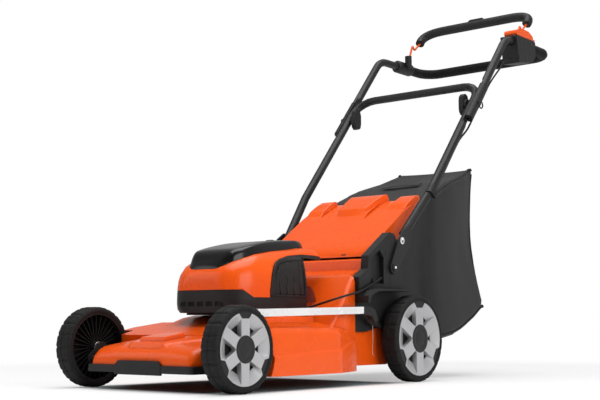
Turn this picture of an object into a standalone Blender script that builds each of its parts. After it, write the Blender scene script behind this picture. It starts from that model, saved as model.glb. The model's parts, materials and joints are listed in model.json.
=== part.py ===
"""Cordless lawn mower with a grass bag, as separate pieces on its real axes.

Metres, +Z up. While it is built, x = 0 is the mower's middle plane, y = 0 is the front wheels' axis
and z = 0 is the ground. +X is the mower's left side and it drives towards -Y. At the end the whole
mower is moved so that the middle of its base lies at the world's origin.
"""
import math

import bmesh
import bpy
from mathutils import Vector, geometry

# General
GAP = 0.0003
RUNNING_GAP = 0.0004
SHARP_ANGLE = math.radians(32)
FLAT_ANGLE = math.radians(0.2)

# Wheels
WHEELBASE = 0.606
OVERALL_WIDTH = 0.462
FRONT_WHEEL_RADIUS = 0.085
REAR_WHEEL_RADIUS = 0.100
WHEEL_WIDTH = 0.042
TYRE_BAND = 0.0135
TREAD_LOBES = 20
TREAD_DEPTH = 0.0022
RIM_WALL = 0.0035
RIM_RIBS = 10
HUB_RADIUS = 0.021
HUBCAP_THICKNESS = 0.0042
HUBCAP_SPOKES = 6
STUB_RADIUS = 0.006

# Height adjustment
AXLE_BAR_RADIUS = 0.006
CRANK_LENGTH = 0.035
CRANK_ANGLE = math.radians(40)
CRANK_PLATE = 0.004
CRANK_PLANE = 0.1785
ROD_PIN_BACK = 0.020
ROD_PIN_UP = 0.0425
ROD_PIN_RADIUS = 0.003
ROD_HEIGHT = 0.015
ROD_THICKNESS = 0.007
ROD_PLANE = 0.2035
ROD_RISE = 0.047
ROD_INBOARD_HEIGHT = 0.010
ROD_INBOARD_Y = 0.056
ROD_OUTBOARD_Y = 0.088
ROD_HANDLE_Y = 0.416

# Deck
DECK_WALL = 0.0035
SKIRT_Z = 0.030
NOSE_BOTTOM_Z = 0.040
NOSE_FRONT_Y = -0.060
NOSE_HALF_WIDTH = 0.148
NOSE_BROW_Z = 0.094
PAN_HALF_WIDTH = 0.220
PAN_FRONT_Y = 0.050
PAN_REAR_Y = 0.425
PAN_CORNER = 0.060
PAN_STEP_Z = 0.070
PAN_STEP_RISE = 0.032
PAN_BEND_Y = 0.316
PAN_BEND_INSET = 0.038
PAN_STEP_INSET = 0.0045
PAN_SHOULDER_Z = 0.122
PAN_TOP_Z = 0.137
PLINTH_HALF_WIDTH = 0.120
PLINTH_TOP_Z = 0.1525
TOWER_HALF_WIDTH = 0.168
TOWER_FOOT_HALF_WIDTH = 0.190
TOWER_LEDGE_Y = 0.420
TOWER_LEDGE_Z = 0.243
TOWER_STEP_Y = 0.500
TOWER_ROOF_Z = 0.283
TOWER_REAR_Y = 0.560
TOWER_FLOOR_Z = 0.090
TOWER_BOTTOM_Z = 0.041
SCOOP_RADIUS = 0.185
SCOOP_TOP_Z = 0.232
ARCH_RADIUS = 0.096
ARCH_CENTRE_Y = 0.003
ARCH_CENTRE_Z = 0.072
ARCH_INNER_X = 0.1765
BUMPER_THICKNESS = 0.005
BUMPER_BOTTOM_Z = 0.037
BUMPER_TOP_Z = 0.052
BUMPER_MIDDLE_TOP_Z = 0.061
BUMPER_WRAP_Y = -0.020

# Cutting gear
BLADE_CENTRE_Y = 0.225
BLADE_LENGTH = 0.410
BLADE_WIDTH = 0.050
BLADE_THICKNESS = 0.003
BLADE_Z = 0.0445
SHAFT_RADIUS = 0.006
SHAFT_TOP_Z = 0.168
HOLDER_RADIUS = 0.022
MOTOR_RADIUS = 0.050
MOTOR_BOTTOM_Z = 0.1612
MOTOR_HEIGHT = 0.043

# Motor housing
HOUSING_WALL = 0.003
HOUSING_BOTTOM_Z = 0.157
SPLIT_FRONT_Z = 0.2045
SPLIT_SIDE_Z = 0.189
VENT_FRONT_Y = 0.212
VENT_REAR_Y = 0.335
VENT_SLATS = 4
BAY_HALF_WIDTH = 0.058
BAY_FRONT_Y = 0.152
BAY_REAR_Y = 0.335
LID_HALF_WIDTH = 0.076
LID_FRONT_Y = 0.124
LID_REAR_Y = 0.385
LID_WALL = 0.0025
LID_HINGE_Z = 0.3045
BATTERY_WIDTH = 0.100
BATTERY_LENGTH = 0.130
BATTERY_HEIGHT = 0.068
BATTERY_BOTTOM_Z = 0.2075
BATTERY_FRONT_Y = 0.190
KEY_WIDTH = 0.020
KEY_HEIGHT = 0.024

# Rear flap
FLAP_HALF_WIDTH = 0.155
FLAP_WALL = 0.003
FLAP_PIN_Y = 0.512
FLAP_PIN_Z = 0.2955
FLAP_PIN_RADIUS = 0.003
FLAP_EAR_RADIUS = 0.0068
FLAP_EAR_WIDTH = 0.0045
FLAP_REAR_Y = 0.738
FLAP_TOP_Z = 0.443

# Handle
HANDLE_ANGLE = math.radians(50.3)
HANDLE_PIVOT_Y = 0.5552
HANDLE_PIVOT_Z = 0.2635
HANDLE_LINE_FORWARD = 0.0076
TUBE_RADIUS = 0.011
TUBE_WALL = 0.0015
LOWER_FOOT_X = 0.1800
LOWER_TUBE_X = 0.1993
UPPER_TUBE_X = 0.2085
JOINT_PLANE_X = 0.2040
LOWER_FLAT_START = 0.490
LOWER_TUBE_START = 0.104
LOWER_BEND_REACH = 0.265
CROSSBAR_REACH = 0.6495
HANDLE_BEND = 0.055
STRAP_WIDTH = 0.030
STRAP_THICKNESS = 0.006
STRAP_INNER_X = 0.1892
LOCK_BOLT_REACH = 0.0759
LOCK_BOLT_OFFSET = -0.0092
KNOB_REACH = 0.5735
UPPER_TUBE_START = 0.5205
SLEEVE_LENGTH = 0.122
SLEEVE_WALL = 0.0012
HANDLE_TOP_Z = 0.910
BOLT_RADIUS = 0.004
BOLT_HEAD_RADIUS = 0.0085
BOLT_HEAD_HEIGHT = 0.0045
KNOB_BOLT_HEAD_HEIGHT = 0.0028
KNOB_SPAN = 0.056
KNOB_HUB_RADIUS = 0.013
KNOB_DEPTH = 0.021

# Grip, bail and switch
GRIP_RADIUS = 0.014
GRIP_FRONT_Y = 1.205
GRIP_REAR_Y = 1.341
GRIP_X = 0.2095
CLAMP_FRONT_Y = 1.168
CLAMP_REAR_Y = 1.245
CLAMP_RADIUS = 0.0175
CLAMP_BOSS_RADIUS = 0.0095
CLAMP_BOSS_X = 0.1860
BAIL_AXIS_Y = 1.201
BAIL_AXIS_Z = 0.936
BAIL_ARM_X = 0.182
BAIL_STUB_X = 0.193
BAIL_TOP_Y = 1.288
BAIL_TOP_Z = 1.028
BAIL_HALF_SPAN = 0.191
BAIL_BEND = 0.040
BAIL_WIRE_RADIUS = 0.0026
BAIL_GRIP_RADIUS = 0.0135
BOX_INNER_X = 0.176
BOX_OUTER_X = 0.2262
BOX_FRONT_Y = 1.120
BOX_REAR_Y = 1.225
BOX_BOTTOM_Z = 0.850
BOX_TOP_Z = 0.9265
COVER_INNER_X = 0.1862
COVER_TOP_Z = 0.950
BUTTON_LENGTH = 0.029
CABLE_RADIUS = 0.0025
CABLE_SPLIT_REACH = 0.5115
CABLE_SPLIT_OFFSET = 0.0168
RING_RADIUS = 0.0088
RING_WIRE_RADIUS = 0.0018
RING_X = 0.2135

# Grass bag
BAG_FRONT_HALF_WIDTH = 0.149
BAG_MIDDLE_HALF_WIDTH = 0.166
BAG_REAR_TOP_HALF_WIDTH = 0.124
BAG_REAR_BOTTOM_HALF_WIDTH = 0.145
BAG_WALL = 0.003
BAG_FRONT_Y = 0.598
BAG_REAR_Y = 1.018
BAG_REAR_FLARE = 0.028
BAG_SIDE_SAG = 0.007
BAG_BOTTOM_Z = 0.097
BAG_REAR_BOTTOM_Z = 0.172
BAG_REAR_TOP_Z = 0.556
FRAME_THICKNESS = 0.016
FRAME_HALF_WIDTH = 0.1655
FRAME_BOTTOM_Z = 0.0885
FRAME_TOP_Z = 0.2745
MOUTH_HALF_WIDTH = 0.135
MOUTH_BOTTOM_Z = 0.112
MOUTH_TOP_Z = 0.252

# Values that follow from the ones above
WHEEL_X = (OVERALL_WIDTH - WHEEL_WIDTH) / 2
CRANK_BACK = CRANK_LENGTH * math.cos(CRANK_ANGLE)
CRANK_DOWN = CRANK_LENGTH * math.sin(CRANK_ANGLE)
FRONT_AXIS = Vector((0, 0, FRONT_WHEEL_RADIUS))
REAR_AXIS = Vector((0, WHEELBASE, REAR_WHEEL_RADIUS))
CRANK_OFFSET = Vector((0, -CRANK_BACK, -CRANK_DOWN))
FRONT_PIVOT = FRONT_AXIS + CRANK_OFFSET
REAR_PIVOT = REAR_AXIS + CRANK_OFFSET
ROD_PIN_OFFSET = Vector((0, -ROD_PIN_BACK, ROD_PIN_UP))
HANDLE_PIVOT = Vector((0, HANDLE_PIVOT_Y, HANDLE_PIVOT_Z))
HANDLE_RUN = Vector((0, math.cos(HANDLE_ANGLE), math.sin(HANDLE_ANGLE)))
HANDLE_SIDE = Vector((0, math.sin(HANDLE_ANGLE), -math.cos(HANDLE_ANGLE)))
HANDLE_LINE_START = HANDLE_PIVOT - Vector((0, HANDLE_LINE_FORWARD, 0))
PIVOT_SET_BACK = HANDLE_LINE_FORWARD * math.sin(HANDLE_ANGLE)
KNOB_AXIS = HANDLE_LINE_START + KNOB_REACH * HANDLE_RUN
KNOB_FACE_X = LOWER_TUBE_X - TUBE_RADIUS - GAP
BLADE_AXIS = Vector((0, BLADE_CENTRE_Y, 0))
LID_HINGE = Vector((0, LID_REAR_Y, LID_HINGE_Z))
FLAP_HINGE = Vector((0, FLAP_PIN_Y, FLAP_PIN_Z))
BAIL_AXIS = Vector((0, BAIL_AXIS_Y, BAIL_AXIS_Z))
AXES = {"X": Vector((1, 0, 0)), "Y": Vector((0, 1, 0)), "Z": Vector((0, 0, 1))}


# Finishes

def finish(name, colour, roughness, metallic=0.0):
    """A plain Principled material."""
    made = bpy.data.materials.new(name)
    made.use_nodes = True
    shader = made.node_tree.nodes["Principled BSDF"]
    shader.inputs["Base Color"].default_value = (*colour, 1.0)
    shader.inputs["Roughness"].default_value = roughness
    shader.inputs["Metallic"].default_value = metallic
    made.diffuse_color = (*colour, 1.0)
    return made


def make_finishes():
    """Every finish of the mower by the name that the pieces use."""
    return {
        "orange": finish("orange_moulding", (0.95, 0.13, 0.01), 0.28),
        "dark": finish("dark_moulding", (0.045, 0.045, 0.045), 0.5),
        "gloss_black": finish("gloss_black", (0.012, 0.012, 0.012), 0.08),
        "tyre": finish("tyre_rubber", (0.022, 0.022, 0.022), 0.75),
        "silver": finish("silver_paint", (0.50, 0.50, 0.50), 0.4, 0.2),
        "tube": finish("tube_paint", (0.04, 0.04, 0.04), 0.38, 0.1),
        "foam": finish("grip_foam", (0.03, 0.03, 0.03), 0.85),
        "fabric": finish("bag_fabric", (0.045, 0.045, 0.045), 0.95),
        "rod": finish("rod_coating", (0.82, 0.82, 0.82), 0.3, 0.1),
        "steel": finish("zinc_steel", (0.62, 0.62, 0.60), 0.3, 1.0),
        "wire": finish("orange_wire", (0.80, 0.16, 0.03), 0.4),
        "cable": finish("cable_jacket", (0.02, 0.02, 0.02), 0.5),
    }


# Mesh helpers

def mesh_from(verts, faces):
    """A mesh with merged corners and faces that point out."""
    shape = bmesh.new()
    corners = [shape.verts.new(v) for v in verts]
    for face in faces:
        shape.faces.new([corners[i] for i in face])
    bmesh.ops.remove_doubles(shape, verts=shape.verts, dist=1e-6)
    bmesh.ops.recalc_face_normals(shape, faces=shape.faces)
    if shape.calc_volume(signed=True) < 0:
        bmesh.ops.reverse_faces(shape, faces=shape.faces)
    mesh = bpy.data.meshes.new("shape")
    shape.to_mesh(mesh)
    shape.free()
    return mesh


def spread(axis, u, v, t):
    """The point with plane coordinates u, v and height t along the axis."""
    return {"X": (t, u, v), "Y": (u, t, v), "Z": (u, v, t)}[axis]


def prism(loops, axis, low, high):
    """A flat outline, the first loop, with holes, the others, pushed from low to high along the axis.

    The plane's coordinates are (y, z) for X, (x, z) for Y and (x, y) for Z.
    """
    flat = [(u, v) for loop in loops for u, v in loop]
    count = len(flat)
    fill = geometry.tessellate_polygon([[Vector((u, v, 0)) for u, v in loop] for loop in loops])
    verts = [spread(axis, u, v, t) for t in (low, high) for u, v in flat]
    faces = [tuple(reversed(tri)) for tri in fill]
    faces += [tuple(i + count for i in tri) for tri in fill]
    start = 0
    for loop in loops:
        size = len(loop)
        for i in range(size):
            a, b = start + i, start + (i + 1) % size
            faces.append((a, b, b + count, a + count))
        start += size
    return mesh_from(verts, faces)


def block(low, high):
    """A rectangular block between two corners."""
    outline = [(low[0], low[1]), (high[0], low[1]), (high[0], high[1]), (low[0], high[1])]
    return prism([outline], "Z", low[2], high[2])


def loft(rings):
    """A solid through closed rings with the same number of points, with flat ends."""
    size = len(rings[0])
    verts = [p for ring in rings for p in ring]
    faces = [tuple(reversed(range(size)))]
    faces.append(tuple(range(len(verts) - size, len(verts))))
    for r in range(len(rings) - 1):
        for i in range(size):
            a, b = r * size + i, r * size + (i + 1) % size
            faces.append((a, b, b + size, a + size))
    return mesh_from(verts, faces)


def side_vectors(axis):
    """Two unit vectors across an axis vector."""
    axis = axis.normalized()
    across = Vector((0, 0, 1)) if abs(axis.z) < 0.9 else Vector((0, 1, 0))
    first = axis.cross(across).normalized()
    return first, axis.cross(first).normalized()


def turned(profile, centre, axis, segments, radius_rule=None):
    """A profile of (radius, height) points turned about an axis through centre.

    A profile that starts and ends on the axis is closed by it, and any other is a closed loop.
    """
    along = AXES[axis]
    first, second = side_vectors(along)
    verts, rows = [], []
    for radius, height in profile:
        base = Vector(centre) + along * height
        if radius < 1e-9:
            rows.append([len(verts)] * segments)
            verts.append(base)
            continue
        row = []
        for i in range(segments):
            angle = 2 * math.pi * i / segments
            reach = radius_rule(radius, angle) if radius_rule else radius
            row.append(len(verts))
            verts.append(base + reach * (math.cos(angle) * first + math.sin(angle) * second))
        rows.append(row)
    on_axis = profile[0][0] < 1e-9 and profile[-1][0] < 1e-9
    pairs = list(zip(rows, rows[1:])) + ([] if on_axis else [(rows[-1], rows[0])])
    faces = []
    for low, high in pairs:
        for i in range(segments):
            j = (i + 1) % segments
            corners = list(dict.fromkeys((low[i], low[j], high[j], high[i])))
            if len(corners) > 2:
                faces.append(tuple(corners))
    return mesh_from(verts, faces)


def cylinder(centre, axis, radius, low, high, segments=24):
    """A round bar about an axis from low to high, measured from centre."""
    return turned([(0, low), (radius, low), (radius, high), (0, high)], centre, axis, segments)


def rounded_path(corners, radius, steps=6):
    """The corners' line with an arc of the given radius at each inner corner."""
    corners = [Vector(c) for c in corners]
    path = [corners[0]]
    for before, here, after in zip(corners, corners[1:], corners[2:]):
        back, ahead = (before - here), (after - here)
        half = back.angle(ahead) / 2
        cut = min(radius / math.tan(half), 0.49 * back.length, 0.49 * ahead.length)
        start, end = here + back.normalized() * cut, here + ahead.normalized() * cut
        bow = cut * math.tan(half)
        middle = here + (back.normalized() + ahead.normalized()).normalized() * (bow / math.sin(half))
        for i in range(steps + 1):
            direction = (start - middle).slerp(end - middle, i / steps)
            path.append(middle + direction.normalized() * bow)
    path.append(corners[-1])
    return path


def smooth_path(points, steps=4):
    """A Catmull-Rom curve through the points."""
    points = [Vector(p) for p in points]
    padded = [2 * points[0] - points[1]] + points + [2 * points[-1] - points[-2]]
    path = []
    for a, b, c, d in zip(padded, padded[1:], padded[2:], padded[3:]):
        for i in range(steps):
            t = i / steps
            bend = 2 * b + (c - a) * t + (2 * a - 5 * b + 4 * c - d) * t ** 2
            path.append((bend + (3 * b - a - 3 * c + d) * t ** 3) / 2)
    return path + [points[-1]]


def ring_rows(path, radius, sides):
    """Rings of points round a path, turned as little as possible from one to the next."""
    ways = [(b - a).normalized() for a, b in zip(path, path[1:])]
    tangents = [ways[0]] + [(a + b).normalized() for a, b in zip(ways, ways[1:])] + [ways[-1]]
    across = side_vectors(tangents[0])[0]
    rows = []
    for i, (point, way) in enumerate(zip(path, tangents)):
        if i:
            across = tangents[i - 1].rotation_difference(way) @ across
        across = (across - way * across.dot(way)).normalized()
        other = way.cross(across)
        stretch = 1.0
        if 0 < i < len(path) - 1:
            stretch = 1 / max(0.7, ways[i - 1].dot(way))
        reach = radius * stretch
        angles = [2 * math.pi * k / sides for k in range(sides)]
        rows.append([point + reach * (math.cos(a) * across + math.sin(a) * other) for a in angles])
    return rows


def tube(path, radius, sides=14, bore=0.0):
    """A round bar along a path, or a pipe where a bore radius is given."""
    outer = ring_rows(path, radius, sides)
    if not bore:
        return loft(outer)
    inner = ring_rows(path, bore, sides)
    verts = [p for row in outer + inner for p in row]
    shift = len(path) * sides
    faces = []
    for r in range(len(path) - 1):
        for k in range(sides):
            a, b = r * sides + k, r * sides + (k + 1) % sides
            faces.append((a, b, b + sides, a + sides))
            faces.append((a + shift, a + sides + shift, b + sides + shift, b + shift))
    for r in (0, len(path) - 1):
        for k in range(sides):
            a, b = r * sides + k, r * sides + (k + 1) % sides
            faces.append((a, b, b + shift, a + shift))
    return mesh_from(verts, faces)


def in_triangles(mesh):
    """The mesh with every face cut into triangles, so that each face is truly flat."""
    shape = bmesh.new()
    shape.from_mesh(mesh)
    bmesh.ops.triangulate(shape, faces=shape.faces)
    shape.to_mesh(mesh)
    shape.free()
    return mesh


def boolean(first, second, operation):
    """The exact union, difference or common part of two meshes."""
    first, second = in_triangles(first), in_triangles(second)
    base = bpy.data.objects.new("base", first)
    tool = bpy.data.objects.new("tool", second)
    for made in (base, tool):
        bpy.context.scene.collection.objects.link(made)
    change = base.modifiers.new("change", "BOOLEAN")
    change.operation = operation
    change.object = tool
    change.solver = "EXACT"
    graph = bpy.context.evaluated_depsgraph_get()
    result = bpy.data.meshes.new_from_object(base.evaluated_get(graph), depsgraph=graph)
    for made in (base, tool):
        bpy.data.objects.remove(made)
    return result


def with_flat_faces_joined(mesh):
    """The mesh with the triangles of each flat face joined again."""
    shape = bmesh.new()
    shape.from_mesh(mesh)
    bmesh.ops.dissolve_limit(shape, angle_limit=FLAT_ANGLE, verts=shape.verts, edges=shape.edges)
    shape.to_mesh(mesh)
    shape.free()
    return mesh


def union(first, *others):
    """All the meshes joined into one body."""
    for other in others:
        first = boolean(first, other, "UNION")
    return first


def cut(first, *tools):
    """The first mesh without the others."""
    for tool in tools:
        first = boolean(first, tool, "DIFFERENCE")
    return first


def mirrored(mesh):
    """The mesh on the mower's other side."""
    shape = bmesh.new()
    shape.from_mesh(mesh)
    for corner in shape.verts:
        corner.co.x = -corner.co.x
    bmesh.ops.reverse_faces(shape, faces=shape.faces)
    twin = bpy.data.meshes.new("twin")
    shape.to_mesh(twin)
    shape.free()
    return twin


def circle(centre, radius, count=24, start=0.0):
    """Points round a circle in a plane."""
    angles = [start + 2 * math.pi * i / count for i in range(count)]
    return [(centre[0] + radius * math.cos(a), centre[1] + radius * math.sin(a)) for a in angles]


def rounded_outline(corners, radius, steps=5):
    """A closed outline with rounded corners."""
    points = []
    size = len(corners)
    for i in range(size):
        before, here, after = (Vector(corners[(i + k) % size]) for k in (-1, 0, 1))
        back, ahead = (before - here), (after - here)
        cut_back = min(radius, 0.45 * back.length, 0.45 * ahead.length)
        start, end = here + back.normalized() * cut_back, here + ahead.normalized() * cut_back
        for k in range(steps + 1):
            t = k / steps
            p = start * (1 - t) ** 2 + here * 2 * t * (1 - t) + end * t ** 2
            points.append((p.x, p.y))
    return points


def along_handle(distance, offset=0.0):
    """The (y, z) of a point on the line of the handle's tubes, offset towards the rear."""
    point = HANDLE_LINE_START + distance * HANDLE_RUN + offset * HANDLE_SIDE
    return point.y, point.z


def pressed(mesh, plane_x, wall, low_distance, high_distance, keep_inside):
    """A tube along the handle pressed flat against a plane, with its wall kept, between two distances."""
    for corner in mesh.vertices:
        if corner.co.x < 0:
            continue
        across = corner.co - HANDLE_LINE_START
        distance = across.dot(HANDLE_RUN)
        if not low_distance < distance < high_distance:
            continue
        side = across.dot(HANDLE_SIDE)
        away = math.hypot(corner.co.x - tube_x_at(distance, keep_inside), side)
        bore = away < TUBE_RADIUS - TUBE_WALL / 2
        if keep_inside:
            corner.co.x = min(corner.co.x, plane_x - (wall if bore else 0.0))
        else:
            corner.co.x = max(corner.co.x, plane_x + (wall if bore else 0.0))
    return mesh


def tube_x_at(distance, lower):
    """How far out a left handle tube's centre lies at a distance from the pivot."""
    if not lower:
        return UPPER_TUBE_X
    share = min(1.0, (distance - LOWER_TUBE_START) / (LOWER_BEND_REACH - LOWER_TUBE_START))
    return LOWER_FOOT_X + (LOWER_TUBE_X - LOWER_FOOT_X) * share


class Mower:
    """The pieces, each hung on the empty of the body that carries it."""

    def __init__(self):
        """Make the finishes and the frame that everything hangs on."""
        self.finishes = make_finishes()
        self.frame = self.empty("mower_frame", Vector((0, 0, 0)), None)
        self.bodies = {"deck": self.frame}

    def empty(self, name, origin, parent):
        """An empty at a place in the mower's frame."""
        made = bpy.data.objects.new(name, None)
        made.empty_display_size = 0.03
        bpy.context.scene.collection.objects.link(made)
        made.parent = parent
        made.location = origin - self.place(parent)
        return made

    def place(self, holder):
        """Where an empty lies in the mower's frame."""
        spot = Vector((0, 0, 0))
        while holder is not None:
            spot += holder.location
            holder = holder.parent
        return spot

    def body(self, name, origin, parent="deck"):
        """A moving body with its origin on its joint's axis."""
        self.bodies[name] = self.empty(name + "_axis", Vector(origin), self.bodies[parent])

    def add(self, name, mesh, look, body="deck"):
        """One named piece, its mesh given in the mower's frame."""
        holder = self.bodies[body]
        spot = self.place(holder)
        mesh = with_flat_faces_joined(mesh)
        for corner in mesh.vertices:
            corner.co -= spot
        mesh.name = name
        mesh.materials.clear()
        mesh.materials.append(self.finishes[look])
        mesh.shade_smooth()
        mesh.set_sharp_from_angle(angle=SHARP_ANGLE)
        made = bpy.data.objects.new(name, mesh)
        bpy.context.scene.collection.objects.link(made)
        made.parent = holder
        return made

    def set_on_origin(self):
        """Move the frame so that the middle of the mower's base lies at the world's origin."""
        bpy.context.view_layer.update()
        corners = [
            piece.matrix_world @ Vector(corner)
            for piece in bpy.data.objects if piece.type == "MESH"
            for corner in (piece.bound_box[0], piece.bound_box[6])
        ]
        low = Vector([min(c[i] for c in corners) for i in range(3)])
        high = Vector([max(c[i] for c in corners) for i in range(3)])
        self.frame.location = Vector((-(low.x + high.x) / 2, -(low.y + high.y) / 2, -low.z))


# Deck

def mirror_half(half):
    """A closed section from its right half, listed from the bottom to the middle of the top."""
    return half + [(-x, z) for x, z in reversed(half)]


def step_rise(y):
    """How far the step in the pan's side has risen at a y, on its sweep up to the tower."""
    share = min(1.0, max(0.0, (y - PAN_FRONT_Y - 0.10) / (PAN_REAR_Y - PAN_FRONT_Y - 0.10)))
    return PAN_STEP_RISE * share ** 2.4


def pan_form(inset):
    """The deck's wide middle part between the wheels, narrower towards its rear corners."""
    levels = [
        (SKIRT_Z, 0.0), (PAN_STEP_Z - 0.003, 0.0), (PAN_STEP_Z + 0.003, PAN_STEP_INSET),
        (PAN_SHOULDER_Z - 0.010, PAN_STEP_INSET), (PAN_SHOULDER_Z - 0.002, PAN_STEP_INSET + 0.004),
        (PAN_SHOULDER_Z + 0.004, PAN_STEP_INSET + 0.012), (PAN_TOP_Z, 0.062),
    ]
    rings = []
    for z, narrower in levels:
        half = PAN_HALF_WIDTH - narrower - inset
        front = PAN_FRONT_Y + inset
        rear = PAN_REAR_Y - 0.4 * narrower - inset
        corner = max(PAN_CORNER - inset, 0.01)
        bend = [(half, PAN_BEND_Y), (half - PAN_BEND_INSET, rear)]
        front_half = rounded_outline([(half, front), *bend, (0, rear), (0, front)], corner, 6)[:7]
        rear_half = rounded_outline([(half, 0.2), *bend, (0, rear), (0, 0.2)], 0.008, 4)[5:15]
        right = front_half + rear_half
        outline = right + [(-x, y) for x, y in reversed(right)]
        height = z - inset if z > PAN_SHOULDER_Z else z
        if inset and z == SKIRT_Z:
            height = SKIRT_Z - 0.02
        stepped = abs(z - PAN_STEP_Z) < 0.004
        rings.append([Vector((x, y, height + (step_rise(y) if stepped else 0.0))) for x, y in outline])
    slope = prism([[(0.0, 0.098 - inset), (0.17, 0.1405 - inset), (0.17, 0.3), (0.0, 0.3)]], "X", -0.3, 0.3)
    return cut(loft(rings), slope)


def nose_form(inset):
    """The low nose between the front wheels."""
    stations = [
        (NOSE_FRONT_Y, 0.030), (NOSE_FRONT_Y + 0.006, 0.019), (NOSE_FRONT_Y + 0.016, 0.011),
        (NOSE_FRONT_Y + 0.030, 0.005), (NOSE_FRONT_Y + 0.060, 0.0), (0.060, -0.008), (0.110, -0.016),
    ]
    bottom = NOSE_BOTTOM_Z - (0.03 if inset else 0.0)
    rings = []
    for y, drop in stations:
        top = NOSE_BROW_Z - drop - inset
        half = NOSE_HALF_WIDTH - inset - 0.30 * max(0.0, drop - 0.005)
        section = [
            (half, bottom), (half, top - 0.016), (half - 0.003, top - 0.008), (half - 0.010, top - 0.002),
            (half - 0.022, top), (half * 0.5, top + 0.003),
        ]
        where = y + inset if y == NOSE_FRONT_Y else y + 0.3 * inset
        rings.append([Vector((x, where, z)) for x, z in mirror_half(section)])
    return loft(rings)


def plinth_form(inset):
    """The ramp from the nose up to the motor's seat."""
    stations = [
        (-0.046, 0.088, 0.040), (-0.040, 0.097, 0.046), (0.020, 0.1045, 0.080), (0.070, 0.113, 0.105),
        (0.125, 0.130, PLINTH_HALF_WIDTH), (0.178, 0.1465, PLINTH_HALF_WIDTH),
        (0.215, PLINTH_TOP_Z, PLINTH_HALF_WIDTH), (0.415, PLINTH_TOP_Z, PLINTH_HALF_WIDTH),
    ]
    rings = []
    for y, top, half in stations:
        low = SKIRT_Z + 0.040
        wide = half + 0.55 * (top - low) + 0.010
        section = [
            (wide - inset, low - (0.06 if inset else 0.0)), (wide - inset, low + 0.002),
            (half + 0.004 - inset, top - 0.003 - inset), (half - 0.004 - inset, top - inset),
        ]
        rings.append([Vector((x, y + inset, z)) for x, z in mirror_half(section)])
    return loft(rings)


def tower_form(inset):
    """The rear tower that the grass passes through on its way to the bag."""
    front, foot = 0.322, TOWER_FOOT_HALF_WIDTH
    stations = [
        (front, PAN_TOP_Z - 0.010, foot, foot - 0.012), (0.350, 0.160, foot, foot - 0.012),
        (0.385, 0.206, foot - 0.003, foot - 0.015),
        (TOWER_LEDGE_Y - 0.008, TOWER_LEDGE_Z - 0.006, foot - 0.0085, foot - 0.020),
        (TOWER_LEDGE_Y, TOWER_LEDGE_Z, foot - 0.010, foot - 0.023),
        (TOWER_LEDGE_Y + 0.004, TOWER_LEDGE_Z + 0.001, TOWER_HALF_WIDTH, TOWER_HALF_WIDTH - 0.008),
        (TOWER_STEP_Y - 0.024, TOWER_LEDGE_Z + 0.014, TOWER_HALF_WIDTH, TOWER_HALF_WIDTH - 0.008),
        (TOWER_STEP_Y - 0.018, TOWER_ROOF_Z - 0.004, TOWER_HALF_WIDTH, TOWER_HALF_WIDTH - 0.008),
        (TOWER_STEP_Y - 0.010, TOWER_ROOF_Z, TOWER_HALF_WIDTH, TOWER_HALF_WIDTH - 0.008),
        (TOWER_REAR_Y + (0.02 if inset else 0.0), TOWER_ROOF_Z, TOWER_HALF_WIDTH, TOWER_HALF_WIDTH - 0.008),
    ]
    rings = []
    for y, top, half, roof_half in stations:
        low = SKIRT_Z if y < TOWER_LEDGE_Y + 0.002 else TOWER_BOTTOM_Z
        if inset:
            low = TOWER_FLOOR_Z + inset if y > TOWER_LEDGE_Y + 0.002 else 0.0
        section = [
            (half - inset, low), (half - inset, top - 0.018 - inset),
            (half - 0.003 - inset, top - 0.007 - inset), (roof_half - inset, top - inset),
        ]
        where = y + (inset if y < TOWER_REAR_Y - 0.05 else 0.0)
        rings.append([Vector((x, where, z)) for x, z in mirror_half(section)])
    return loft(rings)


def scoop_form(grow):
    """The round hollow behind the motor housing."""
    profile = [
        (0, PLINTH_TOP_Z + 0.001 - grow), (SCOOP_RADIUS - 0.035 + grow, PLINTH_TOP_Z + 0.001 - grow),
        (SCOOP_RADIUS - 0.004 + grow, PLINTH_TOP_Z + 0.030 - grow),
        (SCOOP_RADIUS + grow, SCOOP_TOP_Z - 0.015), (SCOOP_RADIUS - 0.006 + grow, SCOOP_TOP_Z + grow),
        (0, SCOOP_TOP_Z + grow),
    ]
    bowl = turned(profile, BLADE_AXIS, "Z", 48)
    side = 0.135 + grow
    room = block((-side, 0.10, 0.10), (side, 0.60, 0.30))
    return boolean(bowl, room, "INTERSECT")


def arch_form(side, grow):
    """The space that a front wheel needs, also while it is lowered."""
    low, high = sorted((side * (ARCH_INNER_X - grow), side * 0.26))
    centre = (0, ARCH_CENTRE_Y, ARCH_CENTRE_Z)
    return cylinder(centre, "X", ARCH_RADIUS + grow, low, high, 48)


def deck_form(inset):
    """The deck's whole outer form, or with an inset the space inside its walls."""
    form = union(pan_form(inset), nose_form(inset), plinth_form(inset), tower_form(inset))
    return cut(form, scoop_form(inset), arch_form(1, inset), arch_form(-1, inset))


def flap_ear(side):
    """The ear on the tower's roof that holds one end of the flap's pin."""
    outline = [(FLAP_PIN_Y - FLAP_EAR_RADIUS - 0.002, TOWER_ROOF_Z - 0.002)]
    for i in range(9):
        angle = math.pi * (1 - i / 8)
        reach = FLAP_EAR_RADIUS
        outline.append((FLAP_PIN_Y + reach * math.cos(angle), FLAP_PIN_Z + reach * math.sin(angle)))
    outline.append((FLAP_PIN_Y + FLAP_EAR_RADIUS + 0.002, TOWER_ROOF_Z - 0.002))
    low, high = sorted((side * (FLAP_HALF_WIDTH + GAP), side * (FLAP_HALF_WIDTH + GAP + FLAP_EAR_WIDTH)))
    return prism([outline], "X", low, high)


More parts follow.
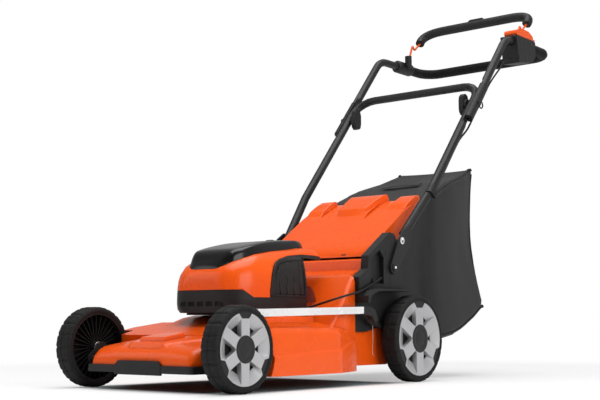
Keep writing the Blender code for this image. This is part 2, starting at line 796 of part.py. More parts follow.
def deck_shell():
    """The orange deck, open below and at the rear of its tower."""
    shell = cut(deck_form(0.0), deck_form(DECK_WALL))
    half = TOWER_HALF_WIDTH - DECK_WALL
    below = block((-half, TOWER_LEDGE_Y, 0.0), (half, TOWER_REAR_Y - DECK_WALL, TOWER_FLOOR_Z))
    shell = union(cut(shell, below), flap_ear(1), flap_ear(-1))
    holes = [cylinder(BLADE_AXIS, "Z", HOLDER_RADIUS + 0.004, 0.08, 0.19, 32)]
    holes.append(cylinder(FRONT_PIVOT, "X", AXLE_BAR_RADIUS + RUNNING_GAP, -0.25, 0.25, 20))
    holes.append(cylinder(FLAP_HINGE, "X", FLAP_PIN_RADIUS + RUNNING_GAP, -0.25, 0.25, 16))
    return cut(shell, *holes)


def bumper():
    """The dark strip along the nose, higher in its middle."""
    outer_x = NOSE_HALF_WIDTH + 0.003
    front, inner = NOSE_FRONT_Y - BUMPER_THICKNESS, NOSE_FRONT_Y - GAP
    corners = [(outer_x, BUMPER_WRAP_Y), (outer_x, front), (-outer_x, front), (-outer_x, BUMPER_WRAP_Y)]
    shape = rounded_outline(corners, 0.010, 5)
    strip = cut(prism([shape], "Z", BUMPER_BOTTOM_Z, BUMPER_TOP_Z), nose_form(-GAP))
    raised = [(-0.066, BUMPER_BOTTOM_Z - 0.004), (0.066, BUMPER_BOTTOM_Z - 0.004), (0.066, BUMPER_TOP_Z)]
    raised += [(0.056, BUMPER_MIDDLE_TOP_Z), (-0.056, BUMPER_MIDDLE_TOP_Z), (-0.066, BUMPER_TOP_Z)]
    return union(strip, prism([raised], "Y", front - 0.001, inner))


# Motor housing

HOUSING_STATIONS = [
    (0.112, 0.048, 0.228), (0.117, 0.068, 0.243), (0.127, 0.084, 0.255), (0.145, 0.097, 0.266),
    (0.170, 0.105, 0.277), (0.200, 0.110, 0.287), (0.250, 0.1115, 0.296), (0.300, 0.1115, 0.302),
    (0.340, 0.110, 0.305), (0.372, 0.107, 0.306), (0.400, 0.102, 0.302), (0.412, 0.096, 0.298),
]


def housing_section(half, top, bottom, inset, squareness):
    """One cross-section of the motor housing: flat below, round at its upper edges."""
    wide = half - inset
    high = top - inset
    points = [(wide - 0.010, bottom), (wide - 0.002, bottom + 0.008), (wide, bottom + 0.020)]
    reach = high - (bottom + 0.030)
    for i in range(7):
        angle = math.radians(90 * i / 6)
        height = bottom + 0.030 + reach * math.sin(angle) ** 0.80
        points.append((wide * math.cos(angle) ** squareness, height))
    return mirror_half(points[:-1] + [(0.012, high)])


def housing_form(inset):
    """The motor housing's outer form, or with an inset the space inside its walls."""
    rings = []
    last = len(HOUSING_STATIONS) - 1
    for i, (y, half, top) in enumerate(HOUSING_STATIONS):
        where = y + inset * (1.0 if i == 0 else 0.4)
        if i == last:
            where = y - inset
        squareness = 0.34 - 0.18 * max(0.0, (y - 0.300) / 0.100)
        section = housing_section(half, top, HOUSING_BOTTOM_Z + inset, inset, squareness)
        rings.append([Vector((x, where, z)) for x, z in section])
    return loft(rings)


def split_outline():
    """The (y, z) line between the dark base and the orange cover, from the front to the rear."""
    return [
        (0.05, SPLIT_FRONT_Z), (0.142, SPLIT_FRONT_Z), (0.166, SPLIT_SIDE_Z),
        (VENT_FRONT_Y - 0.002, SPLIT_SIDE_Z), (VENT_FRONT_Y + 0.004, 0.213), (VENT_FRONT_Y + 0.013, 0.243),
        (VENT_FRONT_Y + 0.024, 0.262), (VENT_FRONT_Y + 0.043, 0.273), (VENT_FRONT_Y + 0.078, 0.282),
        (VENT_REAR_Y, 0.287), (0.380, 0.2865), (0.45, 0.283),
    ]


def below_split(gap):
    """The room below the split line, from side to side."""
    line = [(y, z - gap) for y, z in split_outline()]
    return prism([[(0.05, 0.10)] + line + [(0.45, 0.10)]], "X", -0.2, 0.2)


def above_split(gap):
    """The room above the split line, from side to side."""
    line = [(y, z + gap) for y, z in split_outline()]
    return prism([[(0.05, 0.40)] + line + [(0.45, 0.40)]], "X", -0.2, 0.2)


def motor_base():
    """The dark lower shell with its air grilles and the neck that stands on the deck."""
    shell = cut(housing_form(0.0), housing_form(HOUSING_WALL))
    base = boolean(shell, below_split(GAP / 2), "INTERSECT")
    under_tail = [(VENT_REAR_Y, 0.1), (VENT_REAR_Y, 0.2795), (0.500, 0.2755), (0.500, 0.1)]
    base = cut(base, prism([under_tail], "X", -0.2, 0.2))
    wall_half = 0.1015
    low_corner = (-wall_half, VENT_REAR_Y - HOUSING_WALL, HOUSING_BOTTOM_Z + 0.006)
    back = block(low_corner, (wall_half, VENT_REAR_Y, 0.2795))
    neck_half = 0.092
    neck = rounded_outline(
        [(neck_half, 0.150), (neck_half, 0.318), (-neck_half, 0.318), (-neck_half, 0.150)], 0.03, 4)
    foot = prism([neck], "Z", PLINTH_TOP_Z + GAP, HOUSING_BOTTOM_Z + 0.004)
    base = union(base, back, foot)
    for side in (-1, 1):
        for i in range(VENT_SLATS):
            middle = VENT_FRONT_Y + 0.030 + 0.024 * i
            low, high = sorted((side * 0.1085, side * 0.125))
            slot = block((low, middle - 0.004, SPLIT_SIDE_Z + 0.006), (high, middle + 0.004, 0.262))
            base = cut(base, slot)
    for i in range(5):
        middle = -0.052 + 0.026 * i
        base = cut(base, block((middle - 0.009, 0.10, 0.170), (middle + 0.009, 0.135, 0.180)))
    return cut(base, cylinder(BLADE_AXIS, "Z", HOLDER_RADIUS + 0.004, 0.14, 0.18, 32))


def motor_cover():
    """The orange cover with the battery bay's opening."""
    shell = cut(housing_form(0.0), housing_form(HOUSING_WALL))
    cover = boolean(shell, above_split(GAP / 2), "INTERSECT")
    bay = block((-BAY_HALF_WIDTH, BAY_FRONT_Y, 0.24), (BAY_HALF_WIDTH, BAY_REAR_Y, 0.34))
    return cut(cover, bay)


def lid_ring(y, half, top, inset):
    """One cross-section of the lid, or with an inset of the space inside it."""
    section = [
        (half - inset, 0.20), (half - inset, top - 0.016), (half - 0.004 - inset, top - 0.007 - inset),
        (half - 0.013 - inset, top - 0.002 - inset), (half * 0.55, top - inset),
    ]
    return [Vector((x, y, z)) for x, z in mirror_half(section)]


def battery_lid():
    """The gloss black lid over the battery, which tips up about its rear lower edge."""
    stations = [
        (LID_FRONT_Y, 0.050, 0.262), (LID_FRONT_Y + 0.006, 0.062, 0.273), (LID_FRONT_Y + 0.020, 0.070, 0.286),
        (LID_FRONT_Y + 0.045, LID_HALF_WIDTH, 0.299), (LID_FRONT_Y + 0.085, LID_HALF_WIDTH, 0.309),
        (0.260, LID_HALF_WIDTH, 0.317), (0.330, LID_HALF_WIDTH - 0.001, 0.322),
        (0.366, LID_HALF_WIDTH - 0.008, 0.322), (LID_REAR_Y, 0.058, 0.318),
    ]
    outer = loft([lid_ring(y, half, top, 0.0) for y, half, top in stations])
    inner_rings = []
    for i, (y, half, top) in enumerate(stations):
        where = y + LID_WALL if i == 0 else (y - LID_WALL if i == len(stations) - 1 else y)
        inner_rings.append(lid_ring(where, half, top, LID_WALL))
    lid = cut(outer, housing_form(-RUNNING_GAP))
    inner = boolean(loft(inner_rings), block((-0.2, 0.0, 0.242), (0.2, 0.372, 0.5)), "INTERSECT")
    return cut(lid, inner)


def battery():
    """The battery pack, standing in its bay with a grip on top."""
    half = BATTERY_WIDTH / 2
    rear = BATTERY_FRONT_Y + BATTERY_LENGTH
    top = BATTERY_BOTTOM_Z + BATTERY_HEIGHT
    corners = [(half, BATTERY_FRONT_Y), (half, rear), (-half, rear), (-half, BATTERY_FRONT_Y)]
    pack = prism([rounded_outline(corners, 0.008, 3)], "Z", BATTERY_BOTTOM_Z, top)
    front, back = BATTERY_FRONT_Y + 0.05, rear - 0.03
    grip = rounded_outline([(0.03, front), (0.03, back), (-0.03, back), (-0.03, front)], 0.006, 3)
    hollow = prism([grip], "Z", top - 0.012, top + 0.01)
    bar = block((-0.0295, rear - 0.062, top - 0.013), (0.0295, rear - 0.050, top - 0.001))
    return union(cut(pack, hollow), bar)


def safety_key():
    """The key in front of the battery."""
    half = KEY_WIDTH / 2
    centre_y = BAY_FRONT_Y + 0.014
    low = 0.2555
    shape = [(-half, low), (half, low), (half, low + KEY_HEIGHT * 0.6), (half * 0.6, low + KEY_HEIGHT)]
    shape += [(-half * 0.6, low + KEY_HEIGHT), (-half, low + KEY_HEIGHT * 0.6)]
    return prism([shape], "Y", centre_y - 0.004, centre_y + 0.004)


def key_post():
    """The socket that the safety key stands on, part of the motor can's cap."""
    centre_y = BAY_FRONT_Y + 0.014
    return block((-0.012, centre_y - 0.007, 0.200), (0.012, centre_y + 0.007, 0.2555 - GAP))


def motor_can():
    """The motor and its carrier, which also holds the battery's seat and the key's socket."""
    top = MOTOR_BOTTOM_Z + MOTOR_HEIGHT
    can = turned([(SHAFT_RADIUS + 0.002, MOTOR_BOTTOM_Z + GAP), (MOTOR_RADIUS, MOTOR_BOTTOM_Z + GAP),
                  (MOTOR_RADIUS, top - 0.004), (MOTOR_RADIUS - 0.004, top), (SHAFT_RADIUS + 0.002, top)],
                 BLADE_AXIS, "Z", 36)
    seat = block((-0.060, 0.158, top - 0.006), (0.060, 0.325, BATTERY_BOTTOM_Z - GAP))
    return union(can, seat, key_post())


# Cutting gear

def motor_shaft():
    """The motor's shaft down to the blade holder."""
    low = BLADE_Z + BLADE_THICKNESS + 0.014
    return cylinder(BLADE_AXIS, "Z", SHAFT_RADIUS, low, SHAFT_TOP_Z + 0.030, 24)


def blade_holder():
    """The flanged holder between the shaft and the blade."""
    low = BLADE_Z + BLADE_THICKNESS + GAP
    flange, bore = HOLDER_RADIUS + 0.008, SHAFT_RADIUS + GAP
    profile = [
        (0, low), (flange, low), (flange, low + 0.004), (HOLDER_RADIUS, low + 0.005), (0.014, low + 0.034),
        (bore, low + 0.034), (bore, low + 0.0134), (0, low + 0.0134),
    ]
    return turned(profile, BLADE_AXIS, "Z", 32)


def blade():
    """The cutting blade with its swept-up ends."""
    half, wide = BLADE_LENGTH / 2, BLADE_WIDTH / 2
    outline = [
        (-half + 0.006, -wide), (-0.06, -wide), (-0.035, -wide * 0.8), (0.035, -wide * 0.8), (0.06, -wide),
        (half - 0.02, -wide * 0.7), (half, -wide * 0.55),
    ]
    outline += [(-x, -y) for x, y in outline]
    hole = circle((0, BLADE_CENTRE_Y), 0.0048, 16)
    placed = [(x, y + BLADE_CENTRE_Y) for x, y in outline]
    flat = prism([placed, hole], "Z", BLADE_Z, BLADE_Z + BLADE_THICKNESS)
    for side in (-1, 1):
        low_x, high_x = sorted((side * (half - 0.075), side * (half - 0.002)))
        rear = wide * side
        wing = [(0.55, 0.001), (0.98, 0.011), (0.98, 0.013), (0.5, 0.0028)]
        wing = [(BLADE_CENTRE_Y + rear * share, BLADE_Z + up) for share, up in wing]
        flat = union(flat, prism([wing], "X", low_x, high_x - 0.012))
    return flat


def blade_bolt():
    """The bolt and washer under the blade."""
    top = BLADE_Z - GAP
    profile = [
        (0, top - 0.0095), (0.0075, top - 0.0095), (0.0085, top - 0.0085), (0.0085, top - 0.002),
        (0.016, top - 0.002), (0.016, top), (0.0044, top), (0.0044, top + 0.003 + GAP),
        (0, top + 0.003 + GAP),
    ]
    return turned(profile, BLADE_AXIS, "Z", 12)


# Wheels

def tyre(centre, radius):
    """A tyre with a scalloped tread."""
    half = WHEEL_WIDTH / 2
    inner = radius - TYRE_BAND
    profile = [(inner, -half), (radius - 0.004, -half), (radius, -half + 0.006), (radius, half - 0.006),
               (radius - 0.004, half), (inner, half)]

    def lobed(reach, angle):
        """The tread's radius at an angle, deepest between two lobes."""
        if reach < inner + 0.001:
            return reach
        dip = (0.5 - 0.5 * math.cos(TREAD_LOBES * (angle - math.pi / 2))) ** 3
        return reach - TREAD_DEPTH * dip

    return turned(profile, centre, "X", TREAD_LOBES * 3, lobed)


def rim(centre, radius, side):
    """A dark rim with radial ribs on its inner face and a closed hub."""
    half = WHEEL_WIDTH / 2
    outer = radius - TYRE_BAND - GAP
    edge = outer - RIM_WALL
    face = half - HUBCAP_THICKNESS - 0.001
    bore = STUB_RADIUS + RUNNING_GAP
    profile = [
        (bore, -half + 0.002), (HUB_RADIUS * 0.6, -half + 0.002), (HUB_RADIUS * 0.6, 0.004), (edge, 0.004),
        (edge, -half + 0.002), (outer, -half + 0.002), (outer, face), (edge, face), (edge, face - 0.008),
        (HUB_RADIUS, face - 0.008), (HUB_RADIUS, half - 0.002), (HUB_RADIUS - 0.003, half - 0.0005),
        (0, half - 0.0005), (0, 0.013), (bore, 0.013),
    ]
    profile = [(r, side * t) for r, t in profile]
    on_axis = profile.index(next(p for p in profile if p[0] == 0))
    ordered = profile[on_axis + 1:] + profile[:on_axis + 1]
    body = turned(ordered, centre, "X", 24)
    verts, faces = [], []
    for i in range(RIM_RIBS):
        angle = 2 * math.pi * (i + 0.5) / RIM_RIBS
        way = Vector((0, math.cos(angle), math.sin(angle)))
        across = Vector((0, -way.z, way.y)) * 0.0011
        a, b, c, d, e, f, g, h = range(len(verts), len(verts) + 8)
        for reach in (HUB_RADIUS * 0.6 - 0.002, edge + 0.001):
            for x in (-half + 0.006, 0.0045):
                for sway in (-1, 1):
                    verts.append(Vector(centre) + way * reach + across * sway + Vector((side * x, 0, 0)))
        faces += [(a, b, d, c), (e, g, h, f), (a, e, f, b), (c, d, h, g), (a, c, g, e), (b, f, h, d)]
    return union(body, mesh_from(verts, faces))


HUBCAP_WINDOW = [
    (0.42, -0.10), (0.42, 0.10), (0.62, 0.29), (0.78, 0.27), (0.83, 0.0), (0.78, -0.27), (0.62, -0.29),
]


def hubcap(centre, radius, side):
    """The silver hubcap with six spokes, six windows and three notches in its edge."""
    half = WHEEL_WIDTH / 2
    edge = radius - TYRE_BAND - 0.001
    inner_x, outer_x = half - HUBCAP_THICKNESS - 0.0007, half - 0.0007
    step = 2 * math.pi / HUBCAP_SPOKES
    outline = []
    for i in range(48):
        angle = 2 * math.pi * (i + 0.5) / 48
        reach = edge
        for notch in (math.pi / 2, math.pi / 2 + 2 * step, math.pi / 2 + 4 * step):
            away = abs((angle - notch + math.pi) % (2 * math.pi) - math.pi)
            if away < 0.20:
                reach = edge * 0.80
        outline.append((centre[1] + reach * math.cos(angle), centre[2] + reach * math.sin(angle)))
    loops = [outline, circle((centre[1], centre[2]), HUB_RADIUS + 0.0008, 18)]
    for i in range(HUBCAP_SPOKES):
        middle = math.pi / 2 + step * (i + 0.5)
        window = []
        for share, turn in HUBCAP_WINDOW:
            angle, reach = middle + turn, edge * share
            window.append((centre[1] + reach * math.cos(angle), centre[2] + reach * math.sin(angle)))
        loops.append(window)
    low, high = sorted((centre[0] + side * inner_x, centre[0] + side * outer_x))
    return prism(loops, "X", low, high)


# Axles and height link

def crank_plate(eyes, side):
    """The flat arm at an axle's end, drawn tight round its eyes."""
    points = []
    for spot, radius in eyes:
        points += [Vector(p) for p in circle((spot.y, spot.z), radius, 18)]
    outline = [points[i] for i in geometry.convex_hull_2d(points)]
    low, high = sorted((side * (CRANK_PLANE - CRANK_PLATE / 2), side * (CRANK_PLANE + CRANK_PLATE / 2)))
    return prism([[(p.x, p.y) for p in outline]], "X", low, high)


def axle(pivot, centre, with_pin):
    """A cranked axle: the bar in the deck, an arm at each end and the wheel's stub on it."""
    reach = CRANK_PLANE
    made = cylinder(pivot, "X", AXLE_BAR_RADIUS, -reach, reach, 16)
    pin = pivot + ROD_PIN_OFFSET
    for side in (-1, 1):
        eyes = [(pivot, 0.011), (centre, 0.011)]
        if with_pin and side > 0:
            eyes.append((pin, 0.009))
        low, high = sorted((side * reach, side * (WHEEL_X + 0.0125)))
        made = union(made, crank_plate(eyes, side), cylinder(centre, "X", STUB_RADIUS, low, high, 16))
    if with_pin:
        made = union(made, cylinder(pin, "X", ROD_PIN_RADIUS, reach, reach + 0.0080, 12))
    return made


def rod_section(point, way, wide, thick):
    """A rectangular ring round a rod's path, flat towards the mower's side."""
    across = Vector((0, -way.z, way.y)).normalized() * wide / 2
    side = way.cross(across).normalized() * thick / 2
    return [point + across * s + side * t for s, t in ((1, 1), (-1, 1), (-1, -1), (1, -1))]


def flat_bar(path, wide, thick):
    """A flat bar along a path."""
    ways = [(b - a).normalized() for a, b in zip(path, path[1:])]
    tangents = [ways[0]] + [(a + b).normalized() for a, b in zip(ways, ways[1:])] + [ways[-1]]
    return loft([rod_section(p, w, wide, thick) for p, w in zip(path, tangents)])


def rod_points():
    """The link rod's corner points from its front pin to its rear pin."""
    front = FRONT_PIVOT + ROD_PIN_OFFSET
    rear = REAR_PIVOT + ROD_PIN_OFFSET
    pin_x = CRANK_PLANE + CRANK_PLATE / 2 + 0.0025
    slope = (rear.z - front.z) / (rear.y - front.y)
    top_front = front.z + ROD_RISE
    high_front = Vector((ROD_PLANE, ROD_OUTBOARD_Y, top_front + slope * (ROD_OUTBOARD_Y - front.y)))
    high_rear = Vector((ROD_PLANE, ROD_HANDLE_Y, top_front + slope * (ROD_HANDLE_Y - front.y)))
    return front, rear, pin_x, high_front, high_rear


def link_rod():
    """The silver rod on the left side that turns the rear axle with the front one."""
    front, _, pin_x, high_front, high_rear = rod_points()
    start = Vector((pin_x, front.y, front.z))
    shoulder = Vector((pin_x, front.y + 0.023, high_front.z))
    knee = Vector((pin_x, ROD_INBOARD_Y, high_front.z))
    inside = high_front + (high_rear - high_front).normalized() * 0.02
    path = rounded_path([start, shoulder, knee, high_front, inside], 0.010, 3)
    bar = flat_bar(path, ROD_INBOARD_HEIGHT, 0.004)
    straight = flat_bar([high_front, high_rear], ROD_HEIGHT, ROD_THICKNESS)
    eye = cylinder(front, "X", 0.0085, pin_x - 0.002, pin_x + 0.002, 20)
    whole = union(bar, straight, eye)
    return cut(whole, cylinder(front, "X", ROD_PIN_RADIUS + RUNNING_GAP, 0.15, 0.25, 16))


def height_handle():
    """The dark elbow at the rod's rear end, which is pulled to set the cutting height."""
    _, rear, pin_x, _, high_rear = rod_points()
    y, top = high_rear.y + 2 * GAP, high_rear.z + 0.009
    knee = Vector((ROD_PLANE - 0.002, y + 0.024, top - 0.012))
    low_knee = Vector((pin_x, y + 0.050, top - 0.034))
    end = Vector((pin_x, rear.y, rear.z))
    path = rounded_path([Vector((ROD_PLANE, y + 0.010, top - 0.009)), knee, low_knee, end], 0.012, 3)
    bar = flat_bar(path, ROD_INBOARD_HEIGHT, 0.004)
    elbow = [
        (y, top - 0.018), (y, top), (y + 0.026, top - 0.001), (y + 0.042, top - 0.009),
        (y + 0.054, top - 0.032), (y + 0.042, top - 0.036), (y + 0.028, top - 0.021),
    ]
    half = ROD_THICKNESS / 2 + 0.0015
    grip = prism([elbow], "X", ROD_PLANE - half, ROD_PLANE + half)
    eye = cylinder(rear, "X", 0.0085, pin_x - 0.002, pin_x + 0.002, 20)
    whole = union(bar, grip, eye)
    return cut(whole, cylinder(rear, "X", ROD_PIN_RADIUS + 2 * RUNNING_GAP, 0.15, 0.25, 16))


# Brackets and handle

def bracket():
    """The left handle bracket with its wheel guard."""
    inner, skin, outer = TOWER_HALF_WIDTH + GAP, TOWER_HALF_WIDTH + 0.006, STRAP_INNER_X - GAP
    front = TOWER_LEDGE_Y + 0.004 + GAP
    upper_edge = [
        (front, 0.238), (0.458, 0.258), (0.461, 0.288), (0.545, 0.345), (0.563, 0.343), (0.597, 0.300),
    ]
    foot = [(0.603, 0.200), (0.600, 0.062), (0.556, 0.062), (0.535, 0.130), (0.470, 0.116), (front, 0.116)]
    plate = prism([upper_edge + foot], "X", inner, skin)
    guard_edge = [
        (0.604, 0.2085), (0.505, 0.2085), (0.462, 0.200), (0.446, 0.190), (0.440, 0.180), (front, 0.180),
    ]
    wall = prism([upper_edge + guard_edge], "X", skin - 0.0005, outer)
    roof_outline = [
        (front, 0.180), (front, 0.196), (0.440, 0.208), (0.462, 0.2125), (0.604, 0.2125), (0.604, 0.2085),
        (0.505, 0.2085), (0.464, 0.2065), (0.444, 0.200), (0.432, 0.189), (0.430, 0.180),
    ]
    roof = prism([roof_outline], "X", outer - 0.004, 0.2145)
    pocket_outline = [(0.470, 0.225), (0.470, 0.280), (0.505, 0.302), (0.520, 0.285), (0.520, 0.225)]
    pocket = prism([pocket_outline], "X", skin + 0.004, 0.3)
    stub_hole = cylinder(REAR_PIVOT, "X", AXLE_BAR_RADIUS + RUNNING_GAP, 0.1, 0.3, 20)
    pivot_hole = cylinder(HANDLE_PIVOT, "X", BOLT_RADIUS + GAP, 0.1, 0.3, 16)
    return cut(union(plate, wall, roof), pocket, stub_hole, pivot_hole)


def bolt(spot, head_x, tip_x, side, head_radius, head_height):
    """A bolt along X with a washer and a round head on its outer end."""
    seat = head_x - tip_x
    washer, top = head_radius + 0.0015, seat + head_height
    profile = [
        (0, 0), (BOLT_RADIUS, 0), (BOLT_RADIUS, seat), (washer, seat), (washer, seat + 0.001),
        (head_radius * 0.72, seat + 0.0012), (head_radius * 0.66, top - 0.0006),
        (head_radius * 0.45, top), (0, top),
    ]
    made = turned(profile, (tip_x, spot.y, spot.z), "X", 12)
    return made if side > 0 else mirrored(made)


def lower_leg_path():
    """The lower handle's centre line from its left end to its right end."""
    start_y, start_z = along_handle(LOWER_TUBE_START)
    top_y, top_z = along_handle(CROSSBAR_REACH)
    bend_y, bend_z = along_handle(LOWER_BEND_REACH)
    flat_y, flat_z = along_handle(LOWER_FLAT_START)
    corners = [(LOWER_TUBE_X, bend_y, bend_z), (LOWER_TUBE_X, top_y, top_z), (-LOWER_TUBE_X, top_y, top_z),
               (-LOWER_TUBE_X, bend_y, bend_z)]
    path = rounded_path(corners, HANDLE_BEND, 5)
    left, right = Vector((LOWER_TUBE_X, flat_y, flat_z)), Vector((-LOWER_TUBE_X, flat_y, flat_z))
    step = HANDLE_RUN * 0.012
    upper = path[:1] + [left, left + step] + path[1:-1] + [right + step, right] + path[-1:]
    return [Vector((LOWER_FOOT_X, start_y, start_z))] + upper + [Vector((-LOWER_FOOT_X, start_y, start_z))]


def strap(side):
    """The flattened end of a lower handle leg."""
    half = STRAP_WIDTH / 2
    shape = []
    for i in range(9):
        angle = HANDLE_ANGLE + math.pi / 2 + math.pi * i / 8
        shape.append((HANDLE_PIVOT_Y + half * math.cos(angle), HANDLE_PIVOT_Z + half * math.sin(angle)))
    for distance, offset in ((0.088, half + PIVOT_SET_BACK), (0.125, TUBE_RADIUS), (0.125, -TUBE_RADIUS),
                             (0.096, LOCK_BOLT_OFFSET - 0.0110), (0.058, LOCK_BOLT_OFFSET - 0.0110)):
        shape.append(along_handle(distance, offset))
    low, high = sorted((side * STRAP_INNER_X, side * (STRAP_INNER_X + STRAP_THICKNESS)))
    return prism([shape], "X", low, high)


def lock_spot():
    """The centre of a locking bolt."""
    y, z = along_handle(LOCK_BOLT_REACH, LOCK_BOLT_OFFSET)
    return Vector((0, y, z))


def lower_handle():
    """The lower handle: one bent tube with two flattened ends."""
    pipe = tube(lower_leg_path(), TUBE_RADIUS, 12, TUBE_RADIUS - TUBE_WALL)
    plane = JOINT_PLANE_X - GAP / 2
    left_done = mirrored(pressed(pipe, plane, TUBE_WALL, LOWER_FLAT_START + 0.006, 1.0, True))
    pipe = mirrored(pressed(left_done, plane, TUBE_WALL, LOWER_FLAT_START + 0.006, 1.0, True))
    made = union(pipe, strap(1), strap(-1))
    holes = [cylinder(HANDLE_PIVOT, "X", BOLT_RADIUS + GAP, -0.3, 0.3, 16),
             cylinder(lock_spot(), "X", BOLT_RADIUS + GAP, -0.3, 0.3, 16),
             cylinder(KNOB_AXIS, "X", BOLT_RADIUS + GAP, -0.3, 0.3, 16)]
    return cut(made, *holes)


def upper_corner():
    """Where the upper handle's line meets the height of its level top."""
    distance = (HANDLE_TOP_Z - HANDLE_LINE_START.z) / math.sin(HANDLE_ANGLE)
    y, z = along_handle(distance)
    return y, z


def upper_tube(end_y):
    """A left upper tube from below its knob to the level end."""
    start_y, start_z = along_handle(UPPER_TUBE_START)
    top_y, top_z = upper_corner()
    corners = [(UPPER_TUBE_X, start_y, start_z), (UPPER_TUBE_X, top_y, top_z), (UPPER_TUBE_X, end_y, top_z)]
    path = rounded_path(corners, 0.060, 5)
    flat = Vector((UPPER_TUBE_X, start_y, start_z)) + HANDLE_RUN * (SLEEVE_LENGTH + 0.012)
    path = path[:1] + [flat, flat + HANDLE_RUN * 0.012] + path[1:]
    pipe = tube(path, TUBE_RADIUS, 12, TUBE_RADIUS - TUBE_WALL)
    plane = JOINT_PLANE_X + GAP / 2 + SLEEVE_WALL + GAP
    pipe = pressed(pipe, plane, TUBE_WALL, 0.0, UPPER_TUBE_START + SLEEVE_LENGTH + 0.018, False)
    return cut(pipe, cylinder(KNOB_AXIS, "X", BOLT_RADIUS + GAP, 0.1, 0.3, 16))


def sleeve():
    """The left sleeve with its end cap, round the foot of the upper tube."""
    start = HANDLE_LINE_START + UPPER_TUBE_START * HANDLE_RUN
    inner = TUBE_RADIUS + GAP
    outer = inner + SLEEVE_WALL
    base = Vector((UPPER_TUBE_X, start.y, start.z))
    foot = base - HANDLE_RUN * 0.006
    path = [foot, base - HANDLE_RUN * GAP]
    path += [base + HANDLE_RUN * (SLEEVE_LENGTH - 0.006), base + HANDLE_RUN * SLEEVE_LENGTH]
    made = pressed(tube(path, outer, 16), JOINT_PLANE_X + GAP / 2, 0.0, 0.0, 1.0, False)
    made = with_flat_faces_joined(made)
    room = tube([base - HANDLE_RUN * GAP, base + HANDLE_RUN * 0.2], inner, 16)
    room = pressed(room, JOINT_PLANE_X + GAP / 2 + SLEEVE_WALL, 0.0, 0.0, 1.0, False)
    room = with_flat_faces_joined(room)
    hole = tube([base - HANDLE_RUN * 0.05, base + HANDLE_RUN * 0.01], 0.0028, 12)
    return cut(made, room, hole, cylinder(KNOB_AXIS, "X", BOLT_RADIUS + GAP, 0.1, 0.3, 16))


def knob():
    """The left wing knob."""
    outer_x = KNOB_FACE_X
    inner_x = outer_x - KNOB_DEPTH
    hub = cylinder(KNOB_AXIS, "X", KNOB_HUB_RADIUS, inner_x + 0.003, outer_x, 24)
    half = KNOB_SPAN / 2
    edge = [
        (-1.0, 0.003), (-0.85, 0.011), (-0.4, 0.014), (0.4, 0.014), (0.85, 0.010), (1.0, 0.001),
        (1.0, -0.004), (0.75, -0.012), (0.4, -0.0145), (-0.4, -0.0145), (-0.75, -0.012), (-1.0, -0.005),
    ]
    wing = [(KNOB_AXIS.y + back, KNOB_AXIS.z + up * half) for up, back in edge]
    body = union(hub, prism([wing], "X", inner_x, outer_x - 0.007))
    return cut(body, cylinder(KNOB_AXIS, "X", BOLT_RADIUS + RUNNING_GAP, outer_x - 0.014, 0.3, 16))


# Grip, bail and switch

def grip_loop():
    """The foam grip, a level bow between the clamp and the switch box."""
    start = Vector((-GRIP_X, CLAMP_REAR_Y - 0.020, HANDLE_TOP_Z))
    end = Vector((GRIP_X, BOX_REAR_Y - 0.016, HANDLE_TOP_Z))
    corners = [start, (-GRIP_X, GRIP_REAR_Y, HANDLE_TOP_Z), (GRIP_X, GRIP_REAR_Y, HANDLE_TOP_Z), end]
    return tube(rounded_path(corners, 0.050, 6), GRIP_RADIUS, 14)


def grip_clamp():
    """The right clamp that joins the upper tube and the grip and carries the bail's end."""
    centre = (-(GRIP_X + UPPER_TUBE_X) / 2, 0, HANDLE_TOP_Z)
    front, rear = CLAMP_FRONT_Y, CLAMP_REAR_Y
    profile = [
        (0, front), (CLAMP_RADIUS - 0.004, front), (CLAMP_RADIUS, front + 0.006),
        (CLAMP_RADIUS, rear - 0.006), (CLAMP_RADIUS - 0.003, rear), (0, rear),
    ]
    shell = turned(profile, centre, "Y", 24)
    boss_foot = (-CLAMP_BOSS_X, BAIL_AXIS_Y, 0)
    boss_top = BAIL_AXIS_Z + 0.0062
    made = union(shell, cylinder(boss_foot, "Z", CLAMP_BOSS_RADIUS, HANDLE_TOP_Z + 0.002, boss_top, 18))
    tube_line, grip_line = (-UPPER_TUBE_X, 0, HANDLE_TOP_Z), (-GRIP_X, 0, HANDLE_TOP_Z)
    front_bore = cylinder(tube_line, "Y", TUBE_RADIUS + 2 * GAP, front - 0.01, front + 0.035, 16)
    rear_bore = cylinder(grip_line, "Y", GRIP_RADIUS + 2 * GAP, rear - 0.0205, rear + 0.01, 16)
    low = BAIL_WIRE_RADIUS + 2 * RUNNING_GAP
    stub_room = BAIL_WIRE_RADIUS + RUNNING_GAP
    pivot = cylinder(BAIL_AXIS, "X", stub_room, -BAIL_STUB_X - 0.001, -BAIL_ARM_X, 12)
    slot = block((-BAIL_ARM_X - low - 0.001, BAIL_AXIS_Y - low - 0.0015, BAIL_AXIS_Z - low - 0.0015),
                 (-BAIL_ARM_X + low, BAIL_AXIS_Y + 0.03, 1.0))
    return cut(made, front_bore, rear_bore, pivot, slot)


def bail_arm(side):
    """One arm of the bail wire, from its stub up to where the grip's foam begins."""
    points = [(BAIL_STUB_X, BAIL_AXIS_Y, BAIL_AXIS_Z), (BAIL_ARM_X, BAIL_AXIS_Y, BAIL_AXIS_Z)]
    for back, up in ((0.017, 0.0415), (0.0225, 0.0335), (0.033, 0.034), (0.040, 0.041), (0.0597, 0.057)):
        points.append((BAIL_ARM_X, BAIL_AXIS_Y + back, BAIL_AXIS_Z + up))
    return [Vector((side * x, y, z)) for x, y, z in rounded_path(points, 0.0042, 2)]


